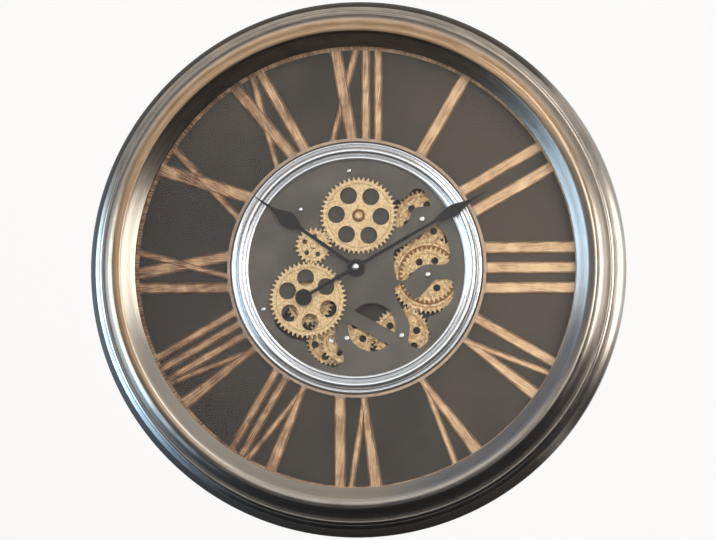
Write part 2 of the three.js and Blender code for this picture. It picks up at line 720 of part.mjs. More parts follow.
add('lower_gear', wheel(lower, frontWheelBack, wheelHoleRadius, wheelHolePitch, 6, 36, arborBore),
  'brass', lower.centre);
add('lower_rear_wheel', wheel(lowerRear, rearWheelBack, rearHoleRadius, rearHolePitch, 0, 0, arborBore),
  'brass', lower.centre);
add('lower_arbor', arbor(lower, arborBack, frontWheelFront + seat, hubRadius, pinHeadThick), 'brass');

const plateHead = gearPlateFront + seat;
add('right_upper_gear', wheel(rightUpper, rearWheelBack, rearHoleRadius, rearHolePitch, 6, 14, arborBore),
  'brass', rightUpper.centre);
add('right_upper_arbor', arbor(rightUpper, arborBack, plateHead, pinHeadRadius + 0.6, pinHeadThick), 'steel');
add('right_small_gear', wheel(rightSmall, rearWheelBack, rearHoleRadius, rearHolePitch, 0, 0, arborBore),
  'brass', rightSmall.centre);
add('right_big_gear', wheel(rightBig, midWheelBack, rearHoleRadius, rearHolePitch, 6, 4, arborBore),
  'brass', rightBig.centre);
add('right_arbor', arbor(rightBig, arborBack, plateHead, pinHeadRadius + 0.6, pinHeadThick), 'steel');
add('lower_right_gear', wheel(lowerRight, midWheelBack, rearHoleRadius, rearHolePitch, 6, 20, arborBore),
  'brass', lowerRight.centre);
add('lower_right_arbor', arbor(lowerRight, arborBack, plateHead, pinHeadRadius + 0.6, pinHeadThick), 'steel');

// The bottom wheel hangs on a stud in the gear plate, in front of the lower left wheel.
function stud(gear, back, front, collarBack, collarFront) {
  return turned([[0, back], [studRadius, back], [studRadius, front], [0, front]].flatMap((point, i) =>
    (i === 1 && collarBack !== undefined
      ? [[pinHeadRadius + 1, back], [pinHeadRadius + 1, collarBack], [studRadius, collarBack]]
      : i === 2 && collarFront !== undefined
        ? [[studRadius, collarFront], [pinHeadRadius + 0.6, collarFront], [pinHeadRadius + 0.6, front]]
        : [point])), smallSides, gear.centre[0], gear.centre[1]);
}

add('bottom_gear', wheel(bottom, midWheelBack, rearHoleRadius, rearHolePitch, 6, 0, studBore),
  'brass', bottom.centre);
add('bottom_stud', stud(bottom, midWheelBack - seat - 1, plateHead + pinHeadThick, midWheelBack - seat,
  plateHead), 'steel');
add('lower_left_gear', wheel(lowerLeft, rearWheelBack, rearHoleRadius, rearHolePitch, 6, 10, studBore),
  'brass', lowerLeft.centre);
add('lower_left_stud', turned([[0, arborBack], [shaftRadius, arborBack], [shaftRadius, baseFront + seat],
  [studRadius, baseFront + seat], [studRadius, rearWheelFront + seat],
  [pinHeadRadius + 1, rearWheelFront + seat], [pinHeadRadius + 1, rearWheelFront + seat + 1],
  [0, rearWheelFront + seat + 1]], smallSides, lowerLeft.centre[0], lowerLeft.centre[1]), 'steel');

// Drive motor behind the base plate; its pinion turns the rear wheel of the upper gear.
function pinionSolid() {
  const toothed = flat(wheelOutline(pinion.teeth, pinion.module, pinion.phase), [],
    rearWheelBack, rearWheelBack + wheelThick);
  const shaft = rod(shaftRadius, baseBack - seat + 0.1, rearWheelBack + 0.5);
  return fuse([toothed, shaft]);
}

const motorFront = baseBack - seat;
add('drive_pinion', pinionSolid(), 'steel', pinion.centre);
add('drive_motor', rod(motorRadius, motorFront - motorLength, motorFront, pinion.centre[0],
  pinion.centre[1], 20), 'steel');

// Quartz movement, its threaded bush and the two nested arbors of the hands
const movementFront = baseBack - seat;
const leadDepth = baseBack - leadBehind;
const movementBack = movementFront - movementThick;
const bushFront = gearPlateFront + seat + washerThick + seat + nutThick + 1.5;
const washerBack = gearPlateFront + seat;
const nutBack = washerBack + washerThick + seat;

add('movement_case', cut(roundedBox(movementSide, movementSide, 4, 0, 0, movementBack, movementFront), [
  rod(bushRadius + seat, movementFront - 5, movementFront + 1, 0, 0, bushSides),
  rod(screwRadius + seat, movementBack - 1, movementBack + 4, 0, -knobOffset),
]), 'blackCase');
add('movement_bush', tube(bushBore, bushRadius, movementFront - 4.5, bushFront, bushSides), 'brass');
add('bush_washer', tube(bushRadius + seat, washerRadius, washerBack, washerBack + washerThick, bushSides),
  'steel');
add('hand_nut', cut(rod(nutRadius, nutBack, nutBack + nutThick, 0, 0, 6),
  [rod(bushRadius + seat, nutBack - 1, nutBack + nutThick + 1, 0, 0, bushSides)]), 'brass');
add('hour_tube', tube(tubeBore, tubeRadius, movementFront - 4, hourHandDepth + handThick + 0.6,
  bushSides), 'steel');
add('minute_arbor', rod(minuteArborRadius, movementFront - 4, minuteHandDepth + handThick + 0.6), 'steel');

// Hands: each outline is a list of [distance from the axis, half width].
const hourDegrees = 90 - 305.2;
const minuteDegrees = 90 - 60.2;
const tailRadius = 8.3;
const tailDistance = 60;

const hourProfile = [[5, 2], [66, 1.8], [73, 4.6], [79, 7.2], [84, 7.8], [91, 5.6], [99, 2.4], [110, 1.1],
  [124, 0.4]];
const minuteProfile = [[4, 1.9], [88, 1.5], [97, 3.6], [106, 5.6], [113, 6.1], [121, 4.2], [131, 1.7],
  [150, 0.4]];
const tailProfile = [[4, 1.9], [tailDistance - tailRadius + 1, 1.7]];

function bladeSolid(profile, degrees, back) {
  const upperEdge = profile.map(([along, half]) => new THREE.Vector2(along, half));
  const lowerEdge = profile.map(([along, half]) => new THREE.Vector2(along, -half)).reverse();
  return flat([...lowerEdge.reverse(), ...upperEdge.reverse()], [], back, back + handThick)
    .rotateZ(THREE.MathUtils.degToRad(degrees));
}

function hourHand() {
  const back = hourHandDepth;
  const blank = fuse([bladeSolid(hourProfile, hourDegrees, back),
    rod(hourHubRadius, back, back + handThick, 0, 0, 24)]);
  return cut(blank, [rod(tubeRadius + seat, back - 1, back + 2, 0, 0, bushSides)]);
}

function minuteHand() {
  const back = minuteHandDepth;
  const [tailX, tailY] = polar(tailDistance, minuteDegrees + 180);
  const blank = fuse([bladeSolid(minuteProfile, minuteDegrees, back),
    bladeSolid(tailProfile, minuteDegrees + 180, back),
    rod(tailRadius, back, back + handThick, tailX, tailY, 24),
    rod(minuteHubRadius, back, back + handThick, 0, 0, 20)]);
  return cut(blank, [rod(minuteArborRadius + seat, back - 1, back + 2)]);
}

const capBack = minuteHandDepth + handThick + 0.6 + seat;
add('hour_hand', hourHand(), 'black');
add('minute_hand', minuteHand(), 'black');
add('centre_cap', turned([[0, capBack], [capRadius, capBack], [capRadius, capBack + capHeight * 0.4],
  [capRadius * 0.75, capBack + capHeight * 0.8], [0, capBack + capHeight]], 16), 'polished');

// Setting knob on the back of the movement
function settingKnob() {
  const front = movementBack - seat;
  return turned([[0, front - knobThick], [knobRadius, front - knobThick], [knobRadius, front],
    [screwRadius, front], [screwRadius, movementBack + 3.5], [0, movementBack + 3.5]], 20, 0, -knobOffset);
}

add('setting_knob', settingKnob(), 'black');

// Battery holder: a tray behind the base plate, open to the back, with two cells side by side
const trayWide = cellLength + 2 * seat + 3;
const trayTall = 4 * cellRadius + cellGap + 2 * seat;
const holderBack = coverThick + seat;
const holderFront = holderBack + holderDepth;
const cellDepth = holderBack + cellRadius + 1.5;
const holderTop = holderHeight + trayTall / 2 + holderWall;

add('battery_holder', cut(
  roundedBox(trayWide + 2 * holderWall, trayTall + 2 * holderWall, 2, 0, holderHeight, holderBack, holderFront),
  [roundedBox(trayWide, trayTall, 1, 0, holderHeight, holderBack - 1, cellDepth + cellRadius + seat)],
), 'blackCase');

function cell(side) {
  const nub = 1;
  const length = cellLength - nub;
  const shape = new THREE.LatheGeometry(points([[0, -length / 2], [cellRadius, -length / 2],
    [cellRadius, length / 2], [2.6, length / 2], [2.6, length / 2 + nub], [0, length / 2 + nub]]), 16);
  return shape.rotateZ((-side * Math.PI) / 2)
    .translate(0, holderHeight + side * (cellRadius + cellGap / 2), cellDepth);
}

const contactThick = 0.5;
for (const [name, side] of [['right', 1], ['left', -1]]) {
  add(`battery_cell_${side > 0 ? 'upper' : 'lower'}`, clean(cell(side)), 'cell');
  add(`battery_contact_${name}`, roundedBox(contactThick, trayTall - 4, 0.1,
    side * (trayWide / 2 - seat - contactThick / 2), holderHeight, holderBack + 2, cellDepth + 4), 'steel');
}

function lead(route) {
  const curve = new THREE.CatmullRomCurve3(route.map(([x, y]) => new THREE.Vector3(x, y, leadDepth)));
  const section = new THREE.Shape(circlePoints(leadRadius, 0, 0, 6));
  return new THREE.ExtrudeGeometry(section, { steps: 3 * (route.length - 1), extrudePath: curve });
}

const movementEdge = -movementSide / 2 - seat;
const motorEdge = pinion.centre[0] + motorRadius + seat;
const holderExit = holderTop + seat;
const besideMovement = movementSide / 2 + leadClear;
const movementLeadX = -movementSide / 5;
const motorLeadX = cellLength / 3;

add('movement_lead', clean(lead([[movementLeadX, holderExit], [movementLeadX, holderExit + 4],
  [movementLeadX + 2, (holderExit + movementEdge) / 2], [movementLeadX, movementEdge - 4],
  [movementLeadX, movementEdge]])), 'redLead');
add('motor_lead', clean(lead([[motorLeadX, holderExit], [motorLeadX, holderExit + 4],
  [(motorLeadX + besideMovement) / 2, movementEdge - 16], [besideMovement - 2, -movementSide / 3],
  [besideMovement, movementSide / 4], [besideMovement - 6, movementSide * 0.85],
  [motorEdge + 25, pinion.centre[1] - 10], [motorEdge + 7, pinion.centre[1]],
  [motorEdge, pinion.centre[1]]])), 'redLead');

export default clock;
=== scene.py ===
import math

import bmesh
import bpy
from mathutils import Matrix, Vector


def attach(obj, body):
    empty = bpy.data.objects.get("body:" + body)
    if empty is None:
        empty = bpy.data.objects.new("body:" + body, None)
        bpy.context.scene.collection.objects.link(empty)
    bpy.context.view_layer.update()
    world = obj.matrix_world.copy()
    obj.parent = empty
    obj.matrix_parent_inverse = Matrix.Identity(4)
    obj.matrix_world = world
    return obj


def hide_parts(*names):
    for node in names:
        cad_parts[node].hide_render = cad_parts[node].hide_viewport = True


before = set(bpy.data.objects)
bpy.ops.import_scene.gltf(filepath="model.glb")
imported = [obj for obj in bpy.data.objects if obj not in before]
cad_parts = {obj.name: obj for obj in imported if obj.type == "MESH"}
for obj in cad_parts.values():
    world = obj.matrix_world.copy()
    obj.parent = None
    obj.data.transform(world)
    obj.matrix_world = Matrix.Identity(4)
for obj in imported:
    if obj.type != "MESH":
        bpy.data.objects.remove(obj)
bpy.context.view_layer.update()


# Case drum and rear cover.
# The drum is one black moulding with a fine spark texture; its shelf carries the dial and its
# flange the bezel. The cover is a flat moulded disc, set in the drum and held by four screws.

MM = 0.001


def place(x, up, depth):
    """A point in metres from millimetres as seen from the front; depth is measured from the wall."""
    return Vector((x * MM, -depth * MM, up * MM))


def operator(operation, reflected=False):
    """What a sign between a wire and another value does: it adds the Math node of its operation."""
    def method(self, other):
        return self.bench.maths(operation, *((other, self) if reflected else (self, other)))
    return method


class Wire:
    """A value on its way between two nodes. Sums written with it add the nodes that work them out."""

    def __init__(self, bench, socket):
        self.bench = bench
        self.socket = socket

    __add__, __radd__ = operator("ADD"), operator("ADD", reflected=True)
    __sub__, __rsub__ = operator("SUBTRACT"), operator("SUBTRACT", reflected=True)
    __mul__, __rmul__ = operator("MULTIPLY"), operator("MULTIPLY", reflected=True)
    __truediv__, __rtruediv__ = operator("DIVIDE"), operator("DIVIDE", reflected=True)
    __pow__ = operator("POWER")
    over = operator("GREATER_THAN")          # 1 where the value is over the other, and 0 elsewhere

    def __abs__(self):
        return self.bench.maths("ABSOLUTE", self)

    def output(self, label):
        """Another output of the node that the wire leaves."""
        return Wire(self.bench, self.socket.node.outputs[label])


class Bench:
    """The nodes of one finish or of one shape. node() adds a node and gives the wire that leaves it."""

    def __init__(self, tree):
        self.tree = tree

    def node(self, kind, settings=None, sockets=None):
        made = self.tree.nodes.new(kind)
        for label, value in (settings or {}).items():
            if label == "stops":
                ends = made.color_ramp.elements
                for end, (at, colour) in zip(ends, (value[0], value[-1])):
                    end.position, end.color = at, colour
                for at, colour in value[1:-1]:
                    ends.new(at).color = colour
            elif label == "items":
                while len(made.index_switch_items) < value:
                    made.index_switch_items.new()
            else:
                setattr(made, label, value)
        for label, value in (sockets or {}).items():
            for one in value if isinstance(value, list) else [value]:
                if isinstance(one, Wire):
                    self.tree.links.new(one.socket, made.inputs[label])
                else:
                    made.inputs[label].default_value = one
        return Wire(self, next(o for o in made.outputs if o.enabled))

    def maths(self, operation, *values):
        return self.node("ShaderNodeMath", {"operation": operation}, dict(enumerate(values)))

    def vector(self, *parts):
        return self.node("ShaderNodeCombineXYZ", None, dict(enumerate(parts)))

    def parts(self, vector):
        x = self.node("ShaderNodeSeparateXYZ", None, {0: vector})
        return x, x.output("Y"), x.output("Z")


class Finish(Bench):
    """The finish of a piece: what the shader is fed, from patterns laid on the piece in metres."""

    def __init__(self, name):
        self.material = bpy.data.materials.new(name)
        self.material.use_nodes = True
        super().__init__(self.material.node_tree)
        self.shader = self.tree.nodes["Principled BSDF"]
        self.where = self.node("ShaderNodeTexCoord").output("Object")

    def coat(self, **fed):
        for label, value in fed.items():
            socket = self.shader.inputs[label.replace("_", " ").title().replace("Ior", "IOR")]
            if isinstance(value, Wire):
                self.tree.links.new(value.socket, socket)
            else:
                socket.default_value = value
        return self.material

    def axes(self, centre=(0, 0)):
        """x, depth and height of a point, with x and height from a centre in millimetres."""
        x, behind, up = self.parts(self.node("ShaderNodeMapping", None, {
            "Vector": self.where, "Location": place(-centre[0], -centre[1], 0)}))
        return x, behind * -1, up

    def round_the_axis(self, around, outwards, centre=(0, 0)):
        """Coordinates with a scale round the axis and another one outwards, and the radius."""
        x, depth, up = self.axes(centre)
        radius = (x * x + up * up) ** 0.5 + 0.00001
        return self.vector(x / radius * around, radius * outwards + depth * outwards,
                           up / radius * around), radius

    def grain(self, vector=None, scale=1.0, detail=3.0, roughness=0.55):
        return self.node("ShaderNodeTexNoise", None, {
            "Vector": vector or self.where, "Scale": scale, "Detail": detail, "Roughness": roughness})

    def blend(self, factor, first, second):
        return self.node("ShaderNodeMix", {"data_type": "RGBA"}, {0: factor, 6: first, 7: second}).output(2)

    def ramp(self, value, *stops):
        return self.node("ShaderNodeValToRGB", {"stops": stops}, {"Fac": value})

    def within(self, value, low, high):
        """0 below low, 1 above high, and a soft step between them."""
        return self.node("ShaderNodeMapRange", {"interpolation_type": "SMOOTHSTEP"}, {
            "Value": value, "From Min": low, "From Max": high})

    def relief(self, height, strength, distance):
        return self.node("ShaderNodeBump", None, {
            "Height": height, "Strength": strength, "Distance": distance})

    def shown_as(self, shader):
        self.tree.links.new(shader.socket, self.tree.nodes["Material Output"].inputs["Surface"])


def tone(red, green, blue):
    """A colour as it is read off a screen, from 0 to 255, as the shader wants it."""
    def linear(value):
        share = value / 255
        return share / 12.92 if share <= 0.04045 else ((share + 0.055) / 1.055) ** 2.4
    return (linear(red), linear(green), linear(blue), 1)


def clouded(name, colours, scale, detail, roughness, spread, texture=None, **fixed):
    """A finish that a cloud takes from one colour to another and from its roughness up by the spread.
    A texture is the scale, detail, strength and depth of its relief."""
    finish = Finish(name)
    cloud = finish.grain(scale=scale, detail=detail)
    if texture:
        fixed["normal"] = finish.relief(finish.grain(scale=texture[0], detail=texture[1]), *texture[2:])
    return finish.coat(base_color=finish.blend(cloud, *colours), roughness=roughness + cloud * spread,
                       **fixed)


def closed(shape):
    """A mesh from a bmesh, with doubled points merged, slits filled and its faces turned outwards."""
    bmesh.ops.remove_doubles(shape, verts=shape.verts, dist=0.000002)
    bmesh.ops.holes_fill(shape, edges=[edge for edge in shape.edges if edge.is_boundary])
    bmesh.ops.recalc_face_normals(shape, faces=shape.faces)
    mesh = bpy.data.meshes.new("shape")
    shape.to_mesh(mesh)
    shape.free()
    return mesh


def corner_round(before, corner, after, size, steps):
    """The points that round a corner by about size millimetres."""
    ends = [corner + (other - corner) * min(0.4, size / max((other - corner).length, 0.001))
            for other in (before, after)]
    shares = [step / steps for step in range(steps + 1)]
    return [ends[0] * (1 - t) ** 2 + corner * 2 * t * (1 - t) + ends[1] * t ** 2 for t in shares]


def softened(profile, size, steps=3):
    """A closed profile with each corner rounded, apart from those on the axis."""
    points = [Vector(corner) for corner in profile]
    rounded = []
    for before, corner, after in zip(points[-1:] + points, points, points[1:] + points[:1]):
        rounded += [corner] if corner.x == 0 else corner_round(before, corner, after, size, steps)
    return rounded


def joined_rows(shape, rows):
    """Faces between each closed row of points and the next one."""
    for first, second in zip(rows, rows[1:]):
        for i in range(len(first)):
            shape.faces.new((first[i - 1], first[i], second[i], second[i - 1]))


def arc(radius, start, sweep, steps, centre=(0, 0)):
    """Points from start through the sweep, in degrees."""
    angles = [math.radians(start + sweep * i / steps) for i in range(steps + 1)]
    return [(centre[0] + radius * math.cos(a), centre[1] + radius * math.sin(a)) for a in angles]


def circle(radius, centre=(0, 0), sides=48, start=0):
    return arc(radius, start, 360, sides, centre)[:-1]


def add_turned(shape, profile, sides, centre=(0, 0), layer=None):
    """Adds the piece that a closed profile of radius and depth makes in a turn round the depth axis.
    With a layer of the mesh, the third number of the profile goes into it."""
    rings = []
    for radius, depth, *mark in profile:
        ring = [shape.verts.new(place(*point, depth)) for point in circle(radius, centre, sides)]
        for vertex in ring if mark else ():
            vertex[layer] = mark[0]
        rings.append(ring)
    for i in range(len(profile)):
        after = (i + 1) % len(profile)
        if profile[i][0] or profile[after][0]:
            joined_rows(shape, [rings[i], rings[after]])


def turned(profile, sides, centre=(0, 0)):
    shape = bmesh.new()
    add_turned(shape, profile, sides, centre)
    return closed(shape)


def tube(inner, outer, back, front):
    """The profile of a tube, or of a rod where inner is 0."""
    return [(inner, back), (outer, back), (outer, front), (inner, front)]


def rounded_box(wide, tall, radius, centre):
    aside, above = wide / 2 - radius, tall / 2 - radius
    corners = []
    for quarter, (right, up) in enumerate([(1, 1), (-1, 1), (-1, -1), (1, -1)]):
        corners += arc(radius, quarter * 90, 90, 4, (centre[0] + right * aside, centre[1] + up * above))
    return corners


def evaluated(holder):
    """The plain closed mesh of an object with its modifiers, which the object is made only for."""
    bpy.context.scene.collection.objects.link(holder)
    graph = bpy.context.evaluated_depsgraph_get()
    mesh = bpy.data.meshes.new_from_object(holder.evaluated_get(graph), depsgraph=graph)
    bpy.data.objects.remove(holder)
    shape = bmesh.new()
    shape.from_mesh(mesh)
    return closed(shape)


def sheet_metal(outlines, back, front, ease):
    """A flat piece cut along closed outlines, of which the inner ones are holes, with eased edges."""
    curve = bpy.data.curves.new("outline", "CURVE")
    curve.dimensions = "2D"
    curve.fill_mode = "BOTH"
    curve.extrude = ((front - back) / 2 - ease) * MM
    curve.bevel_depth = ease * MM
    curve.bevel_resolution = 1
    curve.offset = -ease * MM
    for outline in outlines:
        spline = curve.splines.new("POLY")
        spline.points.add(len(outline) - 1)
        for point, (x, up) in zip(spline.points, outline):
            point.co = (x * MM, up * MM, 0, 1)
        spline.use_cyclic_u = True
    mesh = evaluated(bpy.data.objects.new("outline", curve))
    mesh.transform(Matrix.Translation(place(0, 0, (back + front) / 2)) @ Matrix.Rotation(math.pi / 2, 4, "X"))
    return mesh


def carved(mesh, *tools):
    """The mesh with the tools cut out of it."""
    holder = bpy.data.objects.new("blank", mesh)
    cutters = [bpy.data.objects.new("cutter", tool) for tool in tools]
    for cutter in cutters:
        bpy.context.scene.collection.objects.link(cutter)
        cut = holder.modifiers.new("cut", "BOOLEAN")
        cut.operation, cut.solver, cut.object = "DIFFERENCE", "EXACT", cutter
    result = evaluated(holder)
    for cutter in cutters:
        bpy.data.objects.remove(cutter)
    return result


def fitted(name, mesh, finish, stands_for=None, body="root", smooth=35):
    """Puts a finished mesh on its body, for the node that it stands for and with the material that it
    is given; flat fronts and backs stay flat to their edges."""
    mesh.name = name
    mesh.materials.clear()
    mesh.materials.append(finish)
    mesh.shade_smooth()
    mesh.set_sharp_from_angle(angle=math.radians(smooth))
    shape = bmesh.new()
    shape.from_mesh(mesh)
    for edge in shape.edges:
        if len({abs(face.normal.y) > 0.99995 for face in edge.link_faces}) > 1:
            edge.smooth = False
    shape.to_mesh(mesh)
    shape.free()
    piece = bpy.data.objects.new(name, mesh)
    bpy.context.scene.collection.objects.link(piece)
    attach(piece, body)
    if stands_for:
        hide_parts(stands_for)


def turned_piece(name, profile, finish, stands_for=None, ease=0.25, sides=40, centre=(0, 0),
                 body="root"):
    """A fitted piece turned from a profile of radius and depth, with its corners eased."""
    fitted(name, turned(softened(profile, ease), sides, centre), finish, stands_for, body)


black = clouded("textured_black", (tone(32, 31, 31), tone(47, 45, 44)), scale=28, detail=4,
                roughness=0.5, spread=0.2, texture=(1400, 2, 0.35, 0.00015))
fine_sides = 192              # of the large turned pieces
gap = 0.3                     # between two faces that rest on each other
drum_radius, drum_wall = 250, 3
drum_inner = drum_radius - drum_wall
flange_radius, flange_back = 258, 6.7
shelf_radius, shelf_front = 226, 32.7
cover_front = 3
ledge_radius, ledge_back = 236, cover_front + gap
turned_piece("drum", [
    (drum_inner, 0), (drum_radius, 0), (drum_radius, flange_back), (flange_radius, flange_back),
    (flange_radius, flange_back + drum_wall), (drum_radius, flange_back + drum_wall),
    (drum_radius, shelf_front), (shelf_radius, shelf_front), (shelf_radius, shelf_front - drum_wall),
    (drum_inner, shelf_front - drum_wall), (drum_inner, ledge_back + drum_wall),
    (ledge_radius, ledge_back + drum_wall), (ledge_radius, ledge_back), (drum_inner, ledge_back)],
    black, "case_drum", ease=0.5, sides=fine_sides)

cover_screw_places = circle(241.5, sides=4, start=45)
knob_centre, hanger_centre, holder_centre = (0, -19), (0, 205), (0, -75)
knob_hole, cell_window = circle(11, knob_centre), rounded_box(46, 24, 3, holder_centre)
wall_screw_opening = rounded_box(32, 28, 3, hanger_centre)
hanger_wide, hanger_tall = 60, 40
cover = sheet_metal([
    circle(drum_inner - gap, sides=fine_sides), knob_hole, cell_window, wall_screw_opening,
    *[circle(1.8, at, 24) for at in cover_screw_places]], 0, cover_front, 0.3)
pocket = sheet_metal([rounded_box(hanger_wide + 2 * gap, hanger_tall + 2 * gap, 3, hanger_centre)],
                     -2, 1.8, 0.02)
counterbores = [turned(tube(0, 3.7, -1, 1.7), 32, at) for at in cover_screw_places]
fitted("cover", carved(cover, pocket, *counterbores), black, "rear_cover")


# Screws and hanger.
# Pan head screws of bright zinc hold the cover, the bezel and the dial. The hanger is a zinc
# plate with a keyhole for the head of a wall screw, riveted into a pocket of the cover.

def shade(colour, share):
    """The colour, darker or lighter by a share."""
    return tuple(share * value for value in colour[:3]) + (1,)


def bright_zinc():
    """Zinc plating, a little cloudy, with fine scratches."""
    finish = Finish("bright_zinc")
    base = tone(196, 198, 200)
    cloud = finish.grain(scale=260, detail=4)
    scratch = finish.grain(finish.node("ShaderNodeMapping", None, {
        "Vector": finish.where, "Scale": (90, 90, 2400)}), scale=1, detail=2)
    return finish.coat(
        base_color=finish.blend(cloud, base, shade(base, 0.72)),
        metallic=1.0,
        roughness=0.24 + cloud * 0.16 + scratch * 0.08,
        normal=finish.relief(scratch, 0.08, 0.00005))


class Shape(Bench):
    """The nodes that form a repeating shape, with named inputs for its sizes."""

    def __init__(self, name, **sizes):
        tree = bpy.data.node_groups.new(name, "GeometryNodeTree")
        super().__init__(tree)
        tree.interface.new_socket("Geometry", in_out="INPUT", socket_type="NodeSocketGeometry")
        tree.interface.new_socket("Geometry", in_out="OUTPUT", socket_type="NodeSocketGeometry")
        for label, value in sizes.items():
            kind = {int: "Int", float: "Float", tuple: "Vector"}[type(value)]
            socket = tree.interface.new_socket(label, in_out="INPUT", socket_type="NodeSocket" + kind)
            socket.default_value = value
        tree.interface.new_socket("finish", in_out="INPUT", socket_type="NodeSocketMaterial")
        self.given = tree.nodes.new("NodeGroupInput")

    def size(self, label):
        return Wire(self, self.given.outputs[label])

    def ends_in(self, geometry):
        whole = self.node("GeometryNodeRealizeInstances", None, {"Geometry": geometry})
        last = self.node("GeometryNodeSetMaterial", None, {
            "Geometry": whole, "Material": self.size("finish")})
        self.tree.links.new(last.socket, self.tree.nodes.new("NodeGroupOutput").inputs[0])

    def formed(self, finish, ease, points=(), **sizes):
        """The plain mesh that the nodes form, on points if they ask for them, with its edges eased."""
        mesh = bpy.data.meshes.new("points")
        mesh.from_pydata([tuple(point) for point in points], [], [])
        holder = bpy.data.objects.new("holder", mesh)
        modifier = holder.modifiers.new("shape", "NODES")
        modifier.node_group = self.tree
        for item in self.tree.interface.items_tree:
            if item.in_out == "INPUT" and item.name in sizes:
                modifier[item.identifier] = sizes[item.name]
            elif item.in_out == "INPUT" and item.name == "finish":
                modifier[item.identifier] = finish
        bevel = holder.modifiers.new("ease", "BEVEL")
        bevel.width, bevel.segments, bevel.limit_method = ease * MM, 1, "ANGLE"
        bevel.angle_limit = math.radians(40)
        return evaluated(holder)


def screw_shape():
    """Pan heads with a cross recess on the points of the object, all facing the same way."""
    shape = Shape("pan_head_screws", head_radius=0.003, head_height=0.0014, facing=(0.0, 0.0, 0.0),
                  turn=0.4)
    radius, height = shape.size("head_radius"), shape.size("head_height")
    disc = shape.node("GeometryNodeMeshCylinder", None, {
        "Vertices": 32, "Fill Segments": 6, "Radius": radius, "Depth": height})
    x, y, z = shape.parts(shape.node("GeometryNodeInputPosition"))
    share = (x * x + y * y) / (radius * radius)
    head = shape.node("GeometryNodeSetPosition", None, {
        "Geometry": disc, "Offset": shape.vector(0, 0, z.over(0.0) * share * height * -0.5)})
    slots = [shape.node("GeometryNodeMeshCube", None, {
        "Size": shape.vector(radius * wide, radius * tall, height)})
        for wide, tall in ((1.1, 0.28), (0.28, 1.1))]
    cross = shape.node("GeometryNodeMeshBoolean", {"operation": "UNION", "solver": "EXACT"}, {
        "Mesh 2": slots})
    lifted = shape.node("GeometryNodeTransform", None, {
        "Geometry": cross, "Translation": shape.vector(0, 0, height * 0.6)})
    driven = shape.node("GeometryNodeMeshBoolean", {"operation": "DIFFERENCE", "solver": "EXACT"}, {
        "Mesh 1": head, "Mesh 2": lifted})
    random_turn = shape.node("FunctionNodeRandomValue", {"data_type": "FLOAT"}, {
        "Min": 0.0, "Max": shape.size("turn"), "Seed": 7})
    turned_head = shape.node("GeometryNodeInstanceOnPoints", None, {
        "Points": Wire(shape, shape.given.outputs["Geometry"]), "Instance": driven,
        "Rotation": shape.size("facing")})
    shape.ends_in(shape.node("GeometryNodeRotateInstances", None, {
        "Instances": turned_head, "Rotation": shape.vector(0, 0, random_turn)}))
    return shape


zinc = bright_zinc()
screws = screw_shape()


def screw_heads(places, depth, front, head_radius, head_height):
    """Heads at some places and a depth, in millimetres, which face the front (1) or the back (-1)."""
    return screws.formed(zinc, 0.1, [place(*at, depth) for at in places], turn=6.28,
                         head_radius=head_radius * MM, head_height=head_height * MM,
                         facing=(front * math.pi / 2, 0.0, 0.0))


for number, at in enumerate(cover_screw_places):
    head = screw_heads([at], depth=1.1, front=-1, head_radius=3.3, head_height=0.8)
    fitted(f"cover_screw_{number + 1}", head, zinc, f"rear_cover_screw_{number + 1}")
heads = screw_heads(circle(254, sides=8, start=22.5), depth=6.2, front=-1, head_radius=2.9, head_height=1.0)
fitted("bezel_screws", heads, zinc)
heads = screw_heads(circle(233, sides=6, start=30), depth=35.5, front=1, head_radius=3.0, head_height=1.0)
fitted("dial_screws", heads, zinc)

keyhole_radius, slot_radius = 5.5, 2.8
meets = 30.6                  # half the angle of the keyhole that its slot takes, in degrees
keyhole = (arc(keyhole_radius, 90 + meets, 360 - 2 * meets, 32, (0, hanger_centre[1] - keyhole_radius))
           + arc(slot_radius, 0, 180, 16, (0, hanger_centre[1] + keyhole_radius)))
fitted("hanger_plate", sheet_metal([
    rounded_box(hanger_wide, hanger_tall, 3, hanger_centre), keyhole], 0.2, 1.5, 0.15),
       zinc, "keyhole_hanger")
for number, aside in enumerate((-24, 24)):
    turned_piece(f"hanger_rivet_{number + 1}", [
        (0, 0.1), (2.6, 0.25), (3.2, 0.7), (1.4, 0.9), (1.4, 3.3), (3.4, 3.3), (3.1, 4.2), (0, 4.3)],
        zinc, ease=0.2, sides=32, centre=(aside, hanger_centre[1]))


# Movement, motor and batteries.
# A quartz movement in a black moulded case drives the hands, which a ribbed knob behind it sets. A
# small can motor turns the wheels. Two cells in a tray behind the window of the cover feed both.

def sleeved_cell():
    """A green sleeve with a gold band at the button end, and bare metal ends."""
    finish = Finish("sleeved_cell")
    across, depth, up = finish.axes(holder_centre)
    end = finish.within(abs(across), 0.0236, 0.0238)
    gold = finish.within(across * finish.maths("SIGN", up), 0.0108, 0.0110)
    speck = finish.grain(scale=300, detail=2)
    sleeve = finish.blend(gold, tone(44, 86, 58), tone(190, 152, 84))
    return finish.coat(
        base_color=finish.blend(end, finish.blend(speck * 0.4, sleeve, tone(60, 60, 56)),
                                tone(190, 190, 188)),
        metallic=0.2 + end * 0.7,
        roughness=0.32 + speck * 0.1)


def painted(finish, *nodes):
    """Gives nodes of the frame their finish."""
    for node in nodes:
        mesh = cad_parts[node].data
        mesh.materials.clear()
        mesh.materials.append(finish)


insulated_lead = clouded("insulated_lead", (tone(150, 34, 26), tone(176, 52, 40)), scale=220, detail=3,
                         roughness=0.42, spread=0.1)
painted(black, "movement_case", "battery_holder")
painted(insulated_lead, "movement_lead", "motor_lead")
painted(zinc, "battery_contact_right", "battery_contact_left")

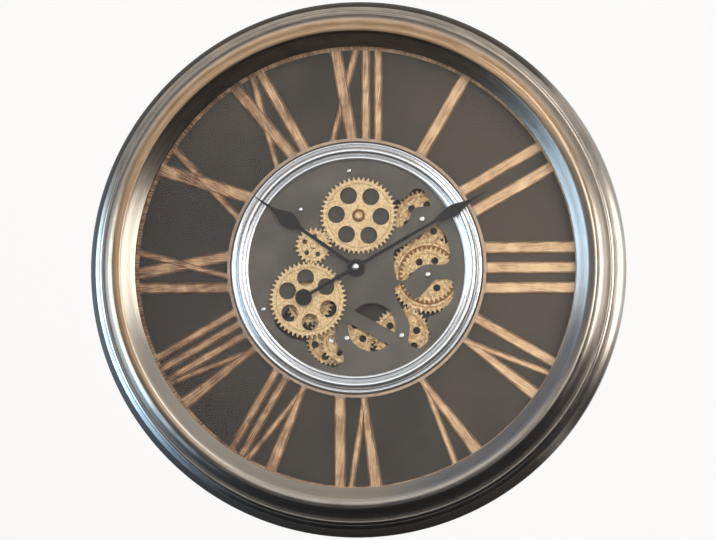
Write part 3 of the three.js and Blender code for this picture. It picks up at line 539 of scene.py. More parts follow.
motor_centre = (-25.6613, 85.3229)
turned_piece("motor_can", [
    (0, 5.4), (2.8, 5.4), (3, 6.2), (11.2, 6.2), (12, 7), (12, 9.4), (11.7, 9.8), (12, 10.2), (12, 21.4),
    (11.4, 22.2), (0, 22.2)], zinc, "drive_motor", ease=0.3, sides=64, centre=motor_centre)

knob_rubber = clouded("moulded_knob", (tone(24, 24, 25), tone(44, 44, 45)), scale=120, detail=4,
                      roughness=0.3, spread=0.2, texture=(120, 4, 0.1, 0.0002))
knob_ribs = Shape("knurled_knob", ribs=28, radius=0.0078, rib=0.0002, height=0.004, at=(0.0, 0.0, 0.0))
blank = knob_ribs.node("GeometryNodeMeshCylinder", None, {
    "Vertices": knob_ribs.size("ribs") * 4, "Radius": knob_ribs.size("radius"),
    "Depth": knob_ribs.size("height")})
x, y, z = knob_ribs.parts(knob_ribs.node("GeometryNodeInputPosition"))
wave = knob_ribs.maths("SINE", knob_ribs.maths("ARCTAN2", y, x) * knob_ribs.size("ribs"))
swell = wave * knob_ribs.size("rib") / knob_ribs.size("radius")
ribbed = knob_ribs.node("GeometryNodeSetPosition", None, {
    "Geometry": blank, "Offset": knob_ribs.vector(x * swell, y * swell, 0)})
knob_ribs.ends_in(knob_ribs.node("GeometryNodeTransform", None, {
    "Geometry": ribbed, "Rotation": (math.pi / 2, 0, 0), "Translation": knob_ribs.size("at")}))
fitted("knob", knob_ribs.formed(knob_rubber, 0.35, at=place(*knob_centre, 4.9)), knob_rubber,
       "setting_knob", "setting_knob")
fitted("knob_stem", turned(tube(0, 1.4, 5.2, 10.4), 24, knob_centre), zinc,
       body="setting_knob")

cell_finish = sleeved_cell()
cell_aside, cell_depth = 7.3, 11.8
for name, side in (("upper", 1), ("lower", -1)):
    mesh = turned(softened([
        (0, -24.5), (5.4, -24.5), (5.6, -24.2), (7, -24.2), (7, 24.2), (5.2, 24.3), (4.6, 24.5), (2.7, 24.5),
        (2.7, 25.4), (0, 25.4)], 0.25), 64)
    mesh.transform(Matrix.Translation(place(0, holder_centre[1] + side * cell_aside, cell_depth))
                   @ Matrix.Rotation(-side * math.pi / 2, 4, "Z"))
    fitted(f"cell_{name}", mesh, cell_finish, f"battery_cell_{name}")


# Base plate and pillars.
# The base plate is sheet steel in dark lacquer behind the wheels, and the lacquer's darkness also
# stands as painted shade there. Steel pillars stand on it, and three of them are riveted into the
# front plate too, where their polished ends show as dots.

lacquer = clouded("dark_lacquer", (tone(38, 32, 28), tone(66, 56, 48)), scale=45, detail=5,
                  roughness=0.42, spread=0.2, texture=(45, 5, 0.1, 0.0002), metallic=0.3)
pin_steel = clouded("polished_steel", (tone(226, 226, 224), tone(196, 194, 190)), scale=500, detail=3,
                    roughness=0.14, spread=0.12, metallic=1.0)
# The base plate's dark lacquer doubles as painted shade behind the wheels.
painted(lacquer, "base_plate")

riveted_pillars, plain_pillar = [(-7.5, 97), (-56, 58.5), (-93, -41)], (84, -52)
dial_front, plate_front = 35.3, 36.8       # the front plate stands between them
behind_plate, before_plate = dial_front - gap, plate_front + gap
pillar_foot = [(0, 22.5), (1.5, 22.5), (1.5, 24.3), (3, 24.3), (3, behind_plate)]
pillar_head = [(1.5, behind_plate), (1.5, before_plate), (2.4, before_plate), (2.3, 37.7), (1.3, 38.2),
               (0, 38.2)]
for number, at in enumerate(riveted_pillars + [plain_pillar]):
    profile = pillar_foot + (pillar_head if at in riveted_pillars else [(0, behind_plate)])
    turned_piece(f"pillar_{number + 1}", profile, pin_steel, f"plate_pillar_{number + 1}",
                 sides=32, centre=at)


# Wheels and arbors.
# The wheels are stamped from pale brass sheet, with the teeth cut and the faces finely brushed, and
# duller under the front plate. Each is pressed on a turned arbor, or runs on a stud.

def pale_brass(name, centre, age=0.0, dark_rings=()):
    """Pale brass, brushed round the centre of its wheel, browner with age and darker in rings: its turned
    grooves, and rings of painted shade where the teeth of a wheel in front shade it.
    """
    finish = Finish(name)
    brushing, radius = finish.round_the_axis(22, 2600, centre)
    fine = finish.grain(brushing, detail=3)
    cloud = finish.grain(scale=240, detail=5, roughness=0.65)
    pits = finish.grain(scale=640, detail=4, roughness=0.7)
    stain = finish.within(cloud, 0.48 - age * 0.15, 0.72 - age * 0.15)
    pale = finish.blend(fine, tone(255, 234, 190), tone(240, 200, 146))
    patches = finish.within(finish.grain(scale=330, detail=3, roughness=0.6), 0.5, 0.58)
    pale = finish.blend(finish.within(pits, 0.47, 0.6) * 0.6, pale, tone(184, 132, 80))
    pale = finish.blend(patches * min(0.2 + age * 0.5, 0.6), pale, tone(158, 104, 60))
    dull = stain * (0.2 + age * 0.35)
    height = fine * 0.5 + pits
    for middle, half_width, depth in dark_rings:
        line = 1 - finish.within(abs(radius - middle * MM), half_width * MM, (half_width + 0.5) * MM)
        dull = dull + line * depth
        height = height - line * 3
    return finish.coat(
        base_color=finish.blend(dull, pale, tone(140, 94, 48)),
        metallic=0.75,
        roughness=0.33 + fine * 0.1 + pits * 0.1 + stain * 0.1,
        normal=finish.relief(height, 0.5, 0.00008))


def wheel_shape():
    """A toothed wheel cut from sheet: its outline by the share of a pitch at each step of a tooth."""
    shape = Shape("toothed_wheel", teeth=48, module=0.00155, first_tooth=0.0, thick=0.002, bore=0.0019,
                  holes=6, hole_radius=0.0085, hole_pitch=0.0223, first_hole=0.0, at=(0.0, 0.0, 0.0))
    steps = 8
    index = shape.node("GeometryNodeInputIndex")
    tooth = shape.maths("FLOOR", (index + 0.5) / steps)
    from_middle = index - tooth * steps - 3.5

    def ring(resolution, radius):
        return shape.node("GeometryNodeCurvePrimitiveCircle", None, {
            "Resolution": resolution, "Radius": radius})

    def around(angle, radius):
        return shape.vector(shape.maths("COSINE", angle) * radius, shape.maths("SINE", angle) * radius)

    def from_tip(*values):
        return shape.node("GeometryNodeIndexSwitch", {"data_type": "FLOAT", "items": len(values)}, {
            "Index": abs(from_middle), **{str(step): value for step, value in enumerate(values)}})

    widths = from_tip(0.035, 0.09, 0.185, 0.325)      # half the tooth, as a share of a pitch
    heights = from_tip(0.95, 0.80, 0.0, -1.15)        # over the pitch circle, in modules
    angle = (tooth + shape.maths("SIGN", from_middle) * widths) * (2 * math.pi) / shape.size("teeth")
    radius = (shape.size("teeth") * 0.5 + heights) * shape.size("module")
    toothed = shape.node("GeometryNodeSetPosition", None, {
        "Geometry": ring(shape.size("teeth") * steps, 0.05),
        "Position": around(angle + shape.size("first_tooth"), radius)})

    bearing = index * (2 * math.pi) / shape.size("holes") + shape.size("first_hole")
    spots = shape.node("GeometryNodePoints", None, {
        "Count": shape.size("holes"), "Position": around(bearing, shape.size("hole_pitch"))})
    openings = shape.node("GeometryNodeInstanceOnPoints", None, {
        "Points": spots, "Instance": ring(40, shape.size("hole_radius"))})
    outlines = shape.node("GeometryNodeRealizeInstances", None, {
        "Geometry": shape.node("GeometryNodeJoinGeometry", None, {
            "Geometry": [toothed, openings, ring(56, shape.size("bore"))]})})
    face = shape.node("GeometryNodeFillCurve", None, {"Curve": outlines})
    raised = shape.node("GeometryNodeExtrudeMesh", None, {
        "Mesh": face, "Offset": shape.vector(0, 0, shape.size("thick")), "Offset Scale": 1.0,
        "Individual": False})
    back = shape.node("GeometryNodeFlipFaces", None, {"Mesh": face})
    whole = shape.node("GeometryNodeMergeByDistance", None, {
        "Geometry": shape.node("GeometryNodeJoinGeometry", None, {"Geometry": [raised, back]}),
        "Distance": 0.000001})
    shape.ends_in(shape.node("GeometryNodeTransform", None, {
        "Geometry": whole, "Rotation": (math.pi / 2, 0, 0), "Translation": shape.size("at")}))
    return shape


wheel_nodes = wheel_shape()
front_module, rear_module = 1.55, 1.5
rear_back, middle_back, front_back = 26.3, 30.3, 38.3
wheel_thick, wheel_ease = 2, 0.14


def meshed(driver, centre, teeth):
    """The angle of a wheel's first tooth, so that it meshes with the wheel that drives it."""
    at, driver_teeth, first = driver
    line = math.atan2(centre[1] - at[1], centre[0] - at[0])
    return line + math.pi - (0.5 - driver_teeth * (line - first) / (2 * math.pi)) * 2 * math.pi / teeth


def wheel(name, node, centre, teeth, driver=None, first_hole=0, age=0.0, holes=6, hole_radius=3.6,
          hole_pitch=15.6, bore=1.9, module=rear_module, back=rear_back, body=None, painted_shade_rings=()):
    """A wheel of a centre and a count of teeth, which meshes with its driver; first_hole is in degrees."""
    first_tooth = meshed(driver, centre, teeth) if driver else 0.0
    dark_rings = [((teeth / 2 - 3.4) * module, 0.3, 0.35)] if teeth > 20 else []      # under the teeth
    finish = pale_brass("brass_" + name, centre, age, dark_rings + list(painted_shade_rings))
    mesh = wheel_nodes.formed(
        finish, wheel_ease, teeth=teeth, module=module * MM, first_tooth=first_tooth,
        thick=wheel_thick * MM, bore=bore * MM, holes=holes, hole_radius=hole_radius * MM,
        hole_pitch=hole_pitch * MM, first_hole=math.radians(first_hole), at=place(*centre, back))
    fitted(name, mesh, finish, node, body or node)
    return centre, teeth, first_tooth


upper_centre, lower_centre, idler_centre = (2.3, 52), (-48.4, -31.9), (-42.9503, 22.0756)
in_front = {"module": front_module, "back": front_back}
spoked = {"hole_radius": 8.5, "hole_pitch": 22.3, **in_front}
upper = wheel("upper_wheel", "upper_gear", upper_centre, 48, first_hole=-3, bore=3.7, **spoked)
idler = wheel("idler_wheel", "idler_gear", idler_centre, 22, upper, first_hole=10, age=0.1, holes=5,
              hole_radius=2.4, hole_pitch=9.5, bore=2.4, **in_front)
wheel("lower_wheel", "lower_gear", lower_centre, 48, idler, first_hole=36, **spoked)

right_upper_centre, right_centre = (65.1757, 48.0442), (70.8807, -7.1618)
lower_right_centre, bottom_centre = (44.8805, -67.8247), (-9.8087, -70.4038)
lower_left_centre = (-26.9287, -73.146)
upper_rear = wheel("upper_rear", "upper_rear_wheel", upper_centre, 46, age=0.5, holes=0, body="upper_gear")
lower_rear = wheel("lower_rear", "lower_rear_wheel", lower_centre, 31, age=0.5, holes=0, body="lower_gear")
right_upper = wheel("right_upper_wheel", "right_upper_gear", right_upper_centre, 38, upper_rear,
                    first_hole=14, age=0.7)
wheel("right_small_wheel", "right_small_gear", right_centre, 36, right_upper, first_hole=4, age=0.45,
      body="right_gear")
# The big wheel carries a ring of painted shade at 27 mm, under the tooth gaps of the crown wheel on it.
right_big = wheel("right_big_wheel", "right_big_gear", right_centre, 50, first_hole=4, age=0.5,
                  back=middle_back, body="right_gear", painted_shade_rings=[(27, 2.4, 0.9)])
crown_brass = pale_brass("brass_crown_wheel", right_centre, 0.5)
crown = wheel_nodes.formed(
    crown_brass, wheel_ease, teeth=36, module=rear_module * MM, first_tooth=0.05, thick=1.5 * MM,
    bore=21.5 * MM, holes=0, at=place(*right_centre, middle_back + 2.05))
fitted("right_crown_wheel", crown, crown_brass, body="right_gear")
lower_right = wheel("lower_right_wheel", "lower_right_gear", lower_right_centre, 38, right_big,
                    first_hole=20, age=0.7, back=middle_back)
wheel("bottom_wheel", "bottom_gear", bottom_centre, 35, lower_right, age=0.7, bore=2.4, back=middle_back)
wheel("lower_left_wheel", "lower_left_gear", lower_left_centre, 31, lower_rear, first_hole=10, age=0.7,
      bore=2.4)
wheel("pinion", "drive_pinion", motor_centre, 12, upper_rear, age=0.2, holes=0, hole_pitch=5, bore=1.6)
fitted("pinion_shaft", turned(tube(0, 1.5, 22.35, 28.6), 24, motor_centre), pin_steel,
       body="drive_pinion")

shaft_back, front_shoulder = 21.5, 40.6
shaft_foot = [(0, shaft_back), (1.6, shaft_back)]
hub_foot = shaft_foot + [(1.6, front_shoulder), (3.8, front_shoulder)]
pin_head = [(3, before_plate), (2.8, 37.8), (1.8, 38.2), (0, 38.2)]
turned_piece("upper_shaft", hub_foot + [(3.8, 42.2), (3.2, 42.8), (1.5, 42.8), (1.2, 42.3), (0, 42.3)],
             pale_brass("hub_brass", upper_centre), "upper_arbor", centre=upper_centre,
             body="upper_gear")
turned_piece("upper_washer", tube(4.1, 6.5, front_shoulder, 41.4),
             pale_brass("washer_bronze", upper_centre, 3.0), "upper_hub_washer",
             centre=upper_centre, body="upper_gear")
turned_piece("lower_shaft", hub_foot + [(3.8, 41.4), (3.2, 41.7), (0, 41.7)],
             pale_brass("lower_hub_brass", lower_centre), "lower_arbor", centre=lower_centre,
             body="lower_gear")
turned_piece("idler_pin", [
    (0, dial_front), (2, dial_front), (2, front_shoulder), (3.4, front_shoulder), (3.2, 41.3),
    (2.2, 41.7), (0, 41.7)],
    pale_brass("idler_pin_brass", idler_centre), "idler_stud", centre=idler_centre)
for name, body, centre in (("right_upper", "right_upper_gear", right_upper_centre),
                           ("right", "right_gear", right_centre),
                           ("lower_right", "lower_right_gear", lower_right_centre)):
    turned_piece(name + "_shaft", shaft_foot + [(1.6, before_plate)] + pin_head, pin_steel,
                 name + "_arbor", centre=centre, body=body)
turned_piece("bottom_pin", [(0, 29), (3.4, 29), (3.4, 30), (2, 30), (2, before_plate)] + pin_head,
             pin_steel, "bottom_stud", centre=bottom_centre)
turned_piece("lower_left_pin", shaft_foot + [
    (1.6, 24.3), (2, 24.3), (2, 28.6), (3.4, 28.6), (3.2, 29.3), (0, 29.6)], pin_steel,
    "lower_left_stud", centre=lower_left_centre)


# Front plate.
# Sheet metal in a warm grey satin paint, with windows cut to show parts of the wheels behind it.
# It is clamped under the polished ring and carries the front ends of the arbors.

def satin_paint(name, light, dark, roughness, scale=22, painted_shade_centres=(), painted_light_slope=0):
    """Mottled satin paint, with painted shade in the round places behind a wheel in front of it, and
    painted light and shade that runs from the lower left, painted darker, to the right, painted lighter."""
    finish = Finish(name)
    cloud = finish.grain(scale=scale, detail=6, roughness=0.6)
    speck = finish.grain(scale=430, detail=3)
    mottled = finish.blend(finish.within(cloud, 0.36, 0.64), dark, light)
    # Painted shade: a darker disc behind each wheel that stands in front of the paint.
    for centre in painted_shade_centres:
        radius = finish.round_the_axis(1, 1, centre)[1]
        mottled = finish.blend(finish.within(radius, 38 * MM, 33 * MM) * 0.5, mottled, shade(dark, 0.4))
    # Painted light and shade: darker towards the lower left and lighter towards the right.
    if painted_light_slope:
        across, depth, up = finish.axes()
        slant = up * 0.4 + across
        mottled = finish.blend(finish.within(slant, 0, -0.2) * painted_light_slope, mottled, shade(dark, 0.6))
        mottled = finish.blend(finish.within(slant, 0, 0.2) * painted_light_slope, mottled, shade(light, 1.3))
    return finish.coat(
        base_color=finish.blend(finish.within(speck, 0.5, 0.75) * 0.12, mottled, shade(light, 1.2)),
        roughness=roughness + cloud * 0.12,
        specular_ior_level=0.3,
        normal=finish.relief(speck, 0.03, 0.00006))


def flowing(points, steps, pull, ring=False):
    """More points on a curve through the given ones, which closes on itself if it is a ring."""
    count = len(points)
    dense = []
    for i in range(count if ring else count - 1):
        near = [(i + k) % count if ring else min(max(i + k, 0), count - 1) for k in (-1, 0, 1, 2)]
        a, b, c, d = (Vector(points[number]) for number in near)
        leave, arrive = (c - a) * pull, (d - b) * pull
        for step in range(steps):
            t = step / steps
            dense.append(tuple(b * (2 * t ** 3 - 3 * t ** 2 + 1) + leave * (t ** 3 - 2 * t ** 2 + t)
                               + c * (3 * t ** 2 - 2 * t ** 3) + arrive * (t ** 3 - t ** 2)))
    return dense if ring else dense + [tuple(points[-1])]


def half_window(edge, side):
    """The round window over (1) or under (-1) its bar, of which an edge is so high over the middle."""
    radius, slope = 24, -28.5
    start = math.degrees(math.asin(edge / radius))
    return arc(radius, start + slope, side * 180 - 2 * start, 30, (15.2, -59.2))


upper_right = [(40, 40), (36, 55), (38, 66.5), (45, 67.5), (52, 72.5), (56.5, 78), (65, 78),
               (71.5, 70), (74, 61.5), (64, 60.5), (56, 58), (52, 47), (47, 42)]
right = [(37.5, 2), (37.5, 16.5), (46, 21.5), (62, 31), (77, 42.5), (81, 42), (88, 33),
         (92, 22), (93, 8), (87, 3), (71, 3), (61, -0.5), (53.5, -8), (47.5, -12.5), (40, -11.5)]
lower_right = [(37.5, -21.5), (46, -15.5), (50.5, -23), (56.5, -30.5), (63, -28.5), (71, -20),
               (80, -11.5), (94, -12.5), (97, -19), (95.5, -31), (88.5, -40), (78.5, -47),
               (71.5, -49.5), (70.5, -57), (72.5, -64), (71.5, -73), (62, -80.5), (51.5, -75),
               (53, -59.5), (48, -45), (41.5, -34)]
lower_left = [(-64, -29), (-58, -15.5), (-46, -12.5), (-37, -24), (-21, -29), (-17, -45),
              (-21, -60), (-21, -73.5), (-14.5, -82.5), (-13, -93), (-22, -99), (-33, -96),
              (-42, -90), (-48.5, -81.5), (-52, -73.5), (-66, -69.5), (-77, -61.5), (-82, -52.5),
              (-72, -45)]
plate_radius, bush_hole = 112, 4.9
# The front plate carries painted shade behind the two front wheels.
plate_paint = satin_paint("plate_paint", tone(108, 100, 93), tone(88, 81, 74), roughness=0.42,
                          painted_shade_centres=(upper_centre, lower_centre))
fitted("front_plate", sheet_metal([
    circle(plate_radius, sides=fine_sides), circle(bush_hole, sides=32),
    half_window(6, 1), half_window(-7.3, -1),
    *[flowing(window, 6, 0.4, ring=True) for window in (upper_right, right, lower_right, lower_left)],
    *[circle(2.4, at, 24) for at in (upper_centre, idler_centre, right_upper_centre, right_centre,
                                     lower_right_centre, bottom_centre)],
    *[circle(1.8, at, 20) for at in riveted_pillars]], dial_front, plate_front, 0.18),
    plate_paint, "gear_plate")


# Dial and numerals.
# The dial is a board in smoke grey satin paint. The numerals are one casting in copper, dry
# brushed over a dark coat. Their sides are dark as the coat and as painted shadow, their edges carry
# painted shade, and their right half painted light.

# The dial's paint carries painted light and shade, darker at the lower left and lighter to the right.
painted(satin_paint("dial_paint", tone(80, 68, 57), tone(52, 45, 38), roughness=0.5, scale=7, painted_light_slope=0.6),
        "dial_plate")


def brushed_copper():
    """Copper rubbed over a dark coat: streaky in front and greyer on the inner ring. Its sides are dark
    as the coat and as painted shadow; its edges carry painted shade, and it is painted lighter to the right.
    """
    finish = Finish("brushed_copper")
    rim = finish.node("ShaderNodeAttribute", {"attribute_name": "rim"}).output("Fac")
    streaks, radius = finish.round_the_axis(700, 40)
    streak = finish.grain(streaks, detail=3, roughness=0.6)
    cloud = finish.grain(scale=60, detail=5, roughness=0.65)
    across = finish.axes()[0]
    # Painted light and shade: lighter to the right with across, and darker on the edges with rim.
    worn = finish.within((streak - 0.5) * 3.2 + (cloud - 0.5) * 1.6 + across * 1.5 - rim * 0.7, -1.0, 0.6)
    # The sides go dark brown, as the dark coat and as painted shadow beside each stroke.
    front = finish.parts(finish.node("ShaderNodeNewGeometry").output("Normal"))[1] * -1
    facing = finish.within(front, 0.2, 0.8)
    face = finish.ramp(worn, (0.0, tone(92, 58, 38)), (0.3, tone(164, 120, 88)), (0.6, tone(222, 178, 136)),
                       (1.0, tone(255, 216, 170)))
    return finish.coat(
        base_color=finish.blend(finish.within(radius, 0.1315, 0.1305) * 0.6,
                                finish.blend(facing, tone(58, 36, 26), face), tone(164, 148, 136)),
        metallic=0.35,
        roughness=0.46 + (1 - worn) * 0.16,
        normal=finish.relief(streak, 0.3, 0.00012))


stroke_edges = {              # of each letter, at the foot and at the head, the wider stroke first
    "I": [(-0.5, 0.5, -0.5, 0.5)],
    "V": [(-2.5, 2.9, -15.8, -4.8), (-1.5, 2.9, 9.6, 14.7)],
    "X": [(2, 13.7, -14.6, -1.8), (-15, -9.2, 7.6, 14.8)],
}
# From XII on: each letter, its middle, and how many times as wide it is, which mirrors it below 0.
numerals = [
    [("X", -12.5, 0.85), ("I", 9.1, 7.2), ("I", 21.5, 7)],
    [("I", -0.9, 10.6)],
    [("I", -13, 10), ("I", 10.9, 10.6)],
    [("I", -19.4, 10.2), ("I", 0.7, 10), ("I", 20.7, 10)],
    [("I", -15.6, 9), ("V", 9.6, -1)],
    [("V", -1, 1)],
    [("V", -8, 1), ("I", 16.6, 9.8)],
    [("V", -14.5, 1), ("I", 6.5, 6.8), ("I", 18.3, 6.8)],
    [("V", -19, 1), ("I", -1.5, 6.8), ("I", 10.8, 6.8), ("I", 22.9, 6.8)],
    [("I", -19.3, 9.5), ("X", 4.4, 0.88)],
    [("X", -1.4, 1)],
    [("X", -6.6, 0.85), ("I", 14.3, 9.3)],
]
numeral_front = 37.8
foot_radius, head_radius = 135, 210      # where the edges of a stroke are given


def add_stroke(shape, rim, edges, hour, drop):
    """A stroke with eased edges, a raised rim and a hollow down its middle."""
    foot_from, foot_to, head_from, head_to = edges
    turn = math.radians(30 * hour)
    top = numeral_front - drop
    start, end, steps = 128, 220.9, 14
    rows = []
    for step in range(steps + 1):
        radius = start + (end - start) * step / steps
        share = (radius - foot_radius) / (head_radius - foot_radius)
        low = foot_from + (head_from - foot_from) * share
        wide = foot_to + (head_to - foot_to) * share - low
        rim_wide = min(0.8, wide * 0.15)
        # The third number is the painted shade on the stroke: 1 on its edge, less towards its middle.
        section = [(-1.1, dial_front, 0), (0, top - 0.1, 0), (0.1, top, 1),
                   (rim_wide, top, 0.8), (rim_wide + 0.5, top - 0.05, 0.2)]
        section += [(wide - aside, depth, worn) for aside, depth, worn in reversed(section)]
        row = []
        for aside, depth, worn in section:
            across = low + aside
            along = math.sqrt(radius ** 2 - across ** 2)
            corner = shape.verts.new(place(along * math.sin(turn) + across * math.cos(turn),
                                           along * math.cos(turn) - across * math.sin(turn), depth))
            corner[rim] = worn
            row.append(corner)
        rows.append(row)
    joined_rows(shape, rows)
    shape.faces.new(rows[0])
    shape.faces.new(reversed(rows[-1]))


def numeral_casting():
    shape = bmesh.new()
    rim = shape.verts.layers.float.new("rim")
    for hour, letters in enumerate(numerals):
        strokes = [[middle + edge * wide for edge in edges]
                   for letter, middle, wide in letters for edges in stroke_edges[letter]]
        for number, (a, b, c, d) in enumerate(strokes):
            add_stroke(shape, rim, sorted([a, b]) + sorted([c, d]), hour, 0.05 * (number % 2))
    # The rings are darkened evenly by it, the outer one more.
    for inner, outer, darkening in ((126.5, 129.5, 0.1), (217.8, 222, 0.35)):
        profile = softened(tube(inner, outer, dial_front, numeral_front + 0.02), 0.2)
        add_turned(shape, [(*point, darkening) for point in profile], 256, layer=rim)
    return closed(shape)


fitted("numerals", numeral_casting(), brushed_copper(), "numeral_frame", smooth=25)


# Polished ring.
# A turned ring with a bright plated finish and stepped grooves; it sits on the dial and clamps
# the rim of the front plate.

def bead(middle, half_width, foot, height):
    """The points of a rounded bead on a turned piece, from its outer side to its inner side."""
    return [(middle + half_width * math.cos(math.pi * i / 12), foot + height * math.sin(math.pi * i / 12))
            for i in range(13)]


plated = clouded("bright_plate", (tone(248, 249, 252), tone(234, 234, 238)), scale=30, detail=4,
                 roughness=0.19, spread=0.1, metallic=1.0)
fitted("polished_ring", turned(
    [(107.6, before_plate), (112.6, before_plate), (112.6, dial_front), (125.5, dial_front)]
    + bead(124, 1.5, 37.2, 1.3) + bead(117, 3.9, 38, 4) + bead(109.9, 2.3, 38.3, 1.9), 256),
    plated, "chrome_ring", smooth=50)


# Bush and hands.
# A threaded brass bush with a washer and a nut holds the movement in the plates. The hands are
# stamped sheet in black satin paint; a polished cap closes the minute hand.

bush_brass = pale_brass("bush_brass", (0, 0), 0.2)
fitted("threaded_bush", turned(softened(
    [(3.4, 17.7), (4.6, 17.7)] + [(4.6 - 0.3 * (i % 2), 30 + 0.35 * i) for i in range(32)]
    + [(4.3, 41.3), (3.4, 41.3)], 0.12, 1), 48), bush_brass, "movement_bush")
turned_piece("flat_washer", tube(bush_hole, 9, before_plate, 37.9), lacquer, "bush_washer",
             ease=0.2, sides=64)
fitted("hex_nut", sheet_metal([circle(7, sides=6), circle(bush_hole, sides=32)], 38.2, 40, 0.3),
       bush_brass, "hand_nut")
turned_piece("hour_sleeve", tube(2, 3, 18.2, 45.4), zinc, "hour_tube", ease=0.2,
             body="hour_hand")
turned_piece("minute_shaft", tube(0, 1.6, 18.2, 48.4), zinc, "minute_arbor", ease=0.2, sides=32,
             body="minute_hand")


def hand_outline(blade, hub_radius, tail=None, disc=None):
    """The outline of a hand that points right: its hub, its blade and, behind, a tail with a disc."""
    blade = flowing(blade, 5, 0.42)
    start = math.degrees(math.asin(blade[0][1] / hub_radius))
    upper = blade[::-1]
    if tail:
        at, radius = disc
        end = math.degrees(math.asin(tail[0][1] / hub_radius))
        join = math.degrees(math.asin(tail[-1][1] / radius))
        upper += arc(hub_radius, start, 180 - end - start, 12)
        upper += [(-distance, half) for distance, half in tail]
        upper += arc(radius, join, 180 - join, 20, (-at, 0))
    else:
        upper += arc(hub_radius, start, 180 - start, 20)
    return upper + [(x, -y) for x, y in reversed(upper[:-1])]


def aimed(outline, clock_degrees):
    """The outline turned from the right to where the hand points, in degrees clockwise from XII."""
    angle = math.radians(90 - clock_degrees)
    return [(x * math.cos(angle) - y * math.sin(angle), x * math.sin(angle) + y * math.cos(angle))
            for x, y in outline]


hand_paint = clouded("black_satin", (tone(12, 12, 13), tone(26, 25, 25)), scale=120, detail=4,
                     roughness=0.34, spread=0.14, texture=(1500, 2, 0.06, 0.00005),
                     specular_ior_level=0.25)
hour_outline = hand_outline([
    (8, 1.9), (40, 1.8), (66, 1.8), (73, 4.4), (79, 7.0), (84, 7.8), (91, 5.6), (99, 2.5), (110, 1.1),
    (124, 0.35)], hub_radius=7.5)
minute_outline = hand_outline([
    (6.5, 1.8), (50, 1.7), (88, 1.5), (97, 3.5), (106, 5.6), (113, 6.1), (121, 4.2), (131, 1.8),
    (150, 0.35)], hub_radius=6, tail=[(6.5, 1.8), (51.8, 1.7)], disc=(60, 8.3))
hand_thick = 0.8
for hand, outline, clock_degrees, bore, sides, back in (("hour", hour_outline, 305.2, 3.3, 32, 44),
                                                        ("minute", minute_outline, 60.2, 1.9, 24, 47)):
    blade = sheet_metal([aimed(outline, clock_degrees), circle(bore, sides=sides)], back,
                        back + hand_thick, 0.15)
    fitted(hand + "_blade", blade, hand_paint, hand + "_hand", hand + "_hand")
turned_piece("cap", [(0, 48.7), (3.5, 48.7), (3.5, 49.3), (3, 50.1), (1.8, 50.6), (0, 50.7)], plated,
             "centre_cap", ease=0.4, sides=48, body="minute_hand")


# Spacer, gasket and glass.
# A black moulded hoop stands on the dial and holds the flat glass against the bezel, with a soft
# gasket between them. The glass is 3 mm float glass with ground edges.

def float_glass():
    """Clear glass: almost all passes, and a little is mirrored, more at a grazing angle."""
    finish = Finish("float_glass")
    finish.coat(base_color=(0.96, 0.98, 0.98, 1), roughness=0.03, metallic=0.0)
    smear = finish.grain(scale=9, detail=3)
    clear = finish.node("ShaderNodeBsdfTransparent", None, {"Color": (0.97, 0.98, 0.98, 1)})
    mirror = finish.node("ShaderNodeBsdfGlossy", None, {
        "Color": (1, 1, 1, 1), "Roughness": 0.04 + smear * 0.05})
    mixed = finish.node("ShaderNodeMixShader", None, {
        0: finish.node("ShaderNodeFresnel", None, {"IOR": 1.45}) * 0.35, 1: clear, 2: mirror})
    finish.shown_as(mixed)
    return finish.material


rubber = clouded("soft_rubber", (tone(20, 20, 20), tone(36, 35, 35)), scale=300, detail=3,
                 roughness=0.75, spread=0.1)
hoop_inner, hoop_outer, hoop_front = 222.5, 225.5, 51.6
glass_radius, glass_back, glass_front, chamfer = 228, 53, 56, 0.5
turned_piece("spacer_hoop", tube(hoop_inner, hoop_outer, dial_front, hoop_front), black,
             "dial_spacer", ease=0.3, sides=fine_sides)
turned_piece("gasket", tube(hoop_inner, hoop_outer, hoop_front + gap, glass_back - gap), rubber,
             "glass_gasket", ease=0.2, sides=fine_sides)
fitted("glass_pane", turned([
    (0, glass_back), (glass_radius - chamfer, glass_back), (glass_radius, glass_back + chamfer),
    (glass_radius, glass_front - chamfer), (glass_radius - chamfer, glass_front), (0, glass_front)],
    fine_sides), float_glass(), "front_glass")


# Bezel.
# A deep hollow moulding with an aged metal finish: a dark coat brushed with pewter and bronze,
# worn light on its crests, with painted light and shade over it. Eight screws through the flange of
# the drum hold its rear rim.

